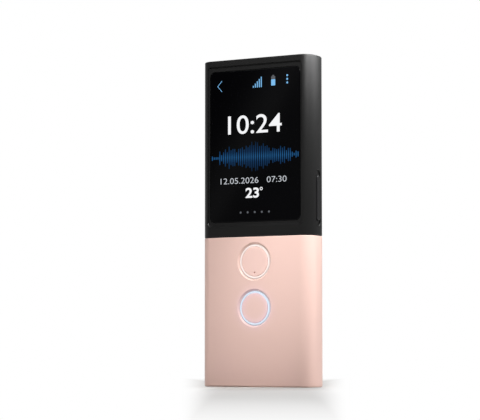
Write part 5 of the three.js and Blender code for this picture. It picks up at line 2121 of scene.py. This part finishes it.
@dataclass(frozen=True)
class Lamp:
    """One lamp: its place, aim and size in millimetres, power in watts and angle in degrees."""

    name: str
    kind: LampKind
    place: Place
    aim: Place
    size: Point
    power: float
    mirrored: bool = True
    angle: float = 0.0

    def light(self) -> bpy.types.Light:
        """Makes the lamp's light.

        Returns:
            The light, without its power.
        """
        light = bpy.data.lights.new(self.name, self.kind.value)
        if self.kind is LampKind.PANEL:
            light.shape = "RECTANGLE"
            light.size, light.size_y = self.size[0] * MM, self.size[1] * MM
        else:
            light.shadow_soft_size = self.size[0] / 2 * MM
            light.spot_size = math.radians(self.angle)
            light.spot_blend = 1.0
        return light

    def hang(self) -> None:
        """Puts the lamp in its place, turned towards what it lights."""
        light = self.light()
        light.energy = self.power
        made = linked(self.name, light)
        made.visible_camera = False
        made.visible_glossy = self.mirrored
        made.location = Vector(self.place) * MM
        made.rotation_mode = "QUATERNION"
        towards = Vector(self.aim) - Vector(self.place)
        made.rotation_quaternion = towards.to_track_quat("-Z", "Y")


PANEL, BEAM = LampKind.PANEL, LampKind.BEAM
LAMPS = (
    Lamp("key", PANEL, (40, -260, 480), (0, 0, 60), (260, 260), 0.45),
    Lamp("side", PANEL, (235, 100, 20), (22, 0, 10), (120, 120), 0.43, mirrored=False),
    Lamp("rear", PANEL, (-742, 1299, 717), (100, -175, 0), (95, 774), 16.0, mirrored=False),
    Lamp("rim", PANEL, (82, -8, 168), (23, 0, 189), (100, 60), 0.9),
    Lamp("rim_back", PANEL, (90, 60, 160), (23, 0, 130), (50, 70), 0.06),
    Lamp("brow", PANEL, (-60, -110, 190), (0, -6, 118), (40, 40), 0.02),
    Lamp("patch", BEAM, (80, -150, 235), (14, -6, 47), (30, 30), 2.95, mirrored=False, angle=17.0),
)


@dataclass
class Studio:
    """Floor, world, lamps and camera."""

    # The camera, in degrees and millimetres, and in metres what it sees between
    yaw: float = 29.6888
    pitch: float = -4.1406
    distance: float = 722.1
    lens: float = 145.2785
    aim_x: float = -8.5174
    aim_z: float = 65.6453
    clip: Point = (0.01, 100.0)
    # The floor: its looks, with a darker painted shadow near the part and the lengths over which
    # that shadow pales, and the slopes and lengths between which it turns white
    floor_reach: float = 6000.0
    floor_rough: float = 0.5
    floor_painted_shadow: Paint = (0.42, 0.40, 0.38, 1.0)
    floor_pale: Paint = (0.97, 0.955, 0.94, 1.0)
    strip_middle: float = 0.0124
    strip_edges: Point = (0.020, 0.043)
    painted_shadow_fade: Point = (-20.0, 85.0)
    white_ahead: Point = (60.0, 440.0)
    white_behind: Point = (30.0, 230.0)
    # What polished pieces mirror: a bright card at one side and a narrow beam
    card_way: Place = (-0.94, 0.34, 0.0)
    card_edge: Point = (0.3, 0.8)
    card_tilt: Point = (0.08, 0.2)
    card_light: float = 0.9
    beam_way: Place = (0.887, 0.0, -0.462)
    beam_start: Point = (-0.500, -0.479)
    beam_end: Point = (-0.479, -0.4775)
    beam_drop: float = 0.7
    beam_light: float = 0.5
    # The plain light from all round, and what polished pieces mirror of it
    world_light: float = 0.385
    mirror_light: float = 0.045

    def aim(self) -> tuple[Vector, Vector]:
        """Where the camera looks.

        Returns:
            The point that it looks at and the direction from there back to the camera.
        """
        turn, tilt = math.radians(self.yaw), math.radians(self.pitch)
        target = Vector((self.aim_x * math.cos(turn), self.aim_x * math.sin(turn),
                         self.aim_z)) * MM
        back = Vector((math.sin(turn) * math.cos(tilt), -math.cos(turn) * math.cos(tilt),
                       math.sin(tilt)))
        return target, back

    def camera(self) -> None:
        """Makes the camera at the photograph's viewing angle."""
        target, back = self.aim()
        data = bpy.data.cameras.new("camera")
        data.lens = self.lens
        data.clip_start, data.clip_end = self.clip
        made = linked("camera", data)
        made.location = target + back * (self.distance * MM)
        made.rotation_mode = "QUATERNION"
        made.rotation_quaternion = (-back).to_track_quat("-Z", "Y")
        bpy.context.scene.camera = made

    @staticmethod
    def step(shading: Shading, value: Wire, ends: Point) -> Wire:
        """A soft step from 0 to 1 between two lengths in millimetres."""
        return shading.ramp(value, ends[0] * MM, ends[1] * MM)

    def floor(self) -> None:
        """Makes the pale floor with a painted shadow near the part; it fades to the background's
        white away from the part.
        """
        half = self.floor_reach
        corners = [(-half, -half, 0), (half, -half, 0), (half, half, 0), (-half, half, 0)]
        made = mesh_object("floor", corners, [[0, 1, 2, 3]])
        material, shading, shader = new_material("floor", Roughness=self.floor_rough,
                                                 Specular_IOR_Level=0.0)
        place = shading.node("ShaderNodeTexCoord").outputs["Object"]
        turn = math.radians(self.yaw)
        across = shading.minus(shading.along(place, (math.cos(turn), math.sin(turn), 0.0)),
                               self.aim_x * MM)
        towards = shading.along(place, (math.sin(turn), -math.cos(turn), 0.0))
        reach = shading.minus(self.distance * MM, towards)
        slope = shading.minus(shading.over(across, reach), self.strip_middle)
        sides = shading.ramp(shading.size(slope), *self.strip_edges)
        ahead = self.step(shading, towards, self.white_ahead)
        behind = self.step(shading, shading.times(towards, -1.0), self.white_behind)
        # Painted contact shadow: the floor's colour is darker under and behind the part and pales
        # over a short length in front of it
        near = self.step(shading, towards, self.painted_shadow_fade)
        shading.feed(shading.mix(near, self.floor_painted_shadow, self.floor_pale),
                     shader.inputs["Base Color"])
        white = shading.node("ShaderNodeEmission", {"Strength": 1.0})
        path = shading.node("ShaderNodeLightPath").outputs
        seen = shading.plus(path["Is Camera Ray"], path["Is Glossy Ray"], clamp=True)
        seen = shading.plus(seen, path["Is Transmission Ray"], clamp=True)
        open_floor = shading.math("MAXIMUM", sides, shading.math("MAXIMUM", ahead, behind))
        both = shading.node("ShaderNodeMixShader", {
            0: shading.times(open_floor, seen), 1: shader.outputs[0], 2: white.outputs[0]})
        shading.feed(both.outputs[0], material.node_tree.nodes["Material Output"].inputs["Surface"])
        made.data.materials.append(material)

    def world(self) -> None:
        """Makes the white background and the plain light that comes from all round."""
        world = bpy.data.worlds.new("studio")
        world.use_nodes = True
        bpy.context.scene.world = world
        shading = Shading(world.node_tree)
        background = world.node_tree.nodes["Background"]
        path = shading.node("ShaderNodeLightPath").outputs
        ray = shading.node("ShaderNodeTexCoord").outputs["Generated"]
        mirror = shading.plus(path["Is Glossy Ray"], path["Is Transmission Ray"], clamp=True)
        card = shading.ramp(shading.along(ray, self.card_way), *self.card_edge)
        tilt = shading.size(shading.along(ray, (0.0, 0.0, 1.0)))
        card = shading.times(card, shading.minus(1.0, shading.ramp(tilt, *self.card_tilt)))
        across = shading.along(ray, self.beam_way)
        fall = shading.times(shading.ramp(across, *self.beam_end), self.beam_drop)
        beam = shading.times(shading.ramp(across, *self.beam_start), shading.minus(1.0, fall))
        beam = shading.times(beam, self.beam_light)
        beam = shading.times(beam, shading.minus(1.0, card, clamp=True))
        shown = shading.plus(shading.times(card, self.card_light),
                             shading.plus(beam, self.mirror_light))
        direct = shading.plus(mirror, path["Is Camera Ray"], clamp=True)
        rest = shading.minus(1.0, direct, clamp=True)
        level = shading.plus(shading.times(shown, mirror), shading.times(rest, self.world_light))
        level = shading.plus(level, path["Is Camera Ray"])
        background.inputs["Color"].default_value = (1, 1, 1, 1)
        shading.feed(level, background.inputs["Strength"])

    def build(self) -> None:
        """Sets up the whole studio."""
        bpy.context.scene.view_settings.view_transform = "Standard"
        self.camera()
        self.floor()
        self.world()
        for lamp in LAMPS:
            lamp.hang()


def main() -> None:
    """Builds the assemblies in order."""
    logging.basicConfig(level=logging.INFO, format="%(name)s: %(message)s")
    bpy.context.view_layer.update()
    shelf = MaterialShelf()
    upper = UpperHalf(shelf)
    upper.build()
    LowerHalf(shelf).build()
    Display(shelf, upper=upper).build()
    TalkButton(shelf).build()
    TalkButton(shelf, name="lower", height=AT.lower_button, leg_side=-1, guide=COOL_GUIDE,
               microphone=False).build()
    SideKey(shelf).build()
    SideKey(shelf, name="power", node="power_button", body="power_key", side=-1,
            length=AT.power_length, height=AT.power_z, nubs=(0.0,)).build()
    SimDrawer(shelf).build()
    Optics(shelf).build()
    Socket(shelf).build()
    Inside(shelf).build()
    Studio().build()


if __name__ == "__main__":
    main()
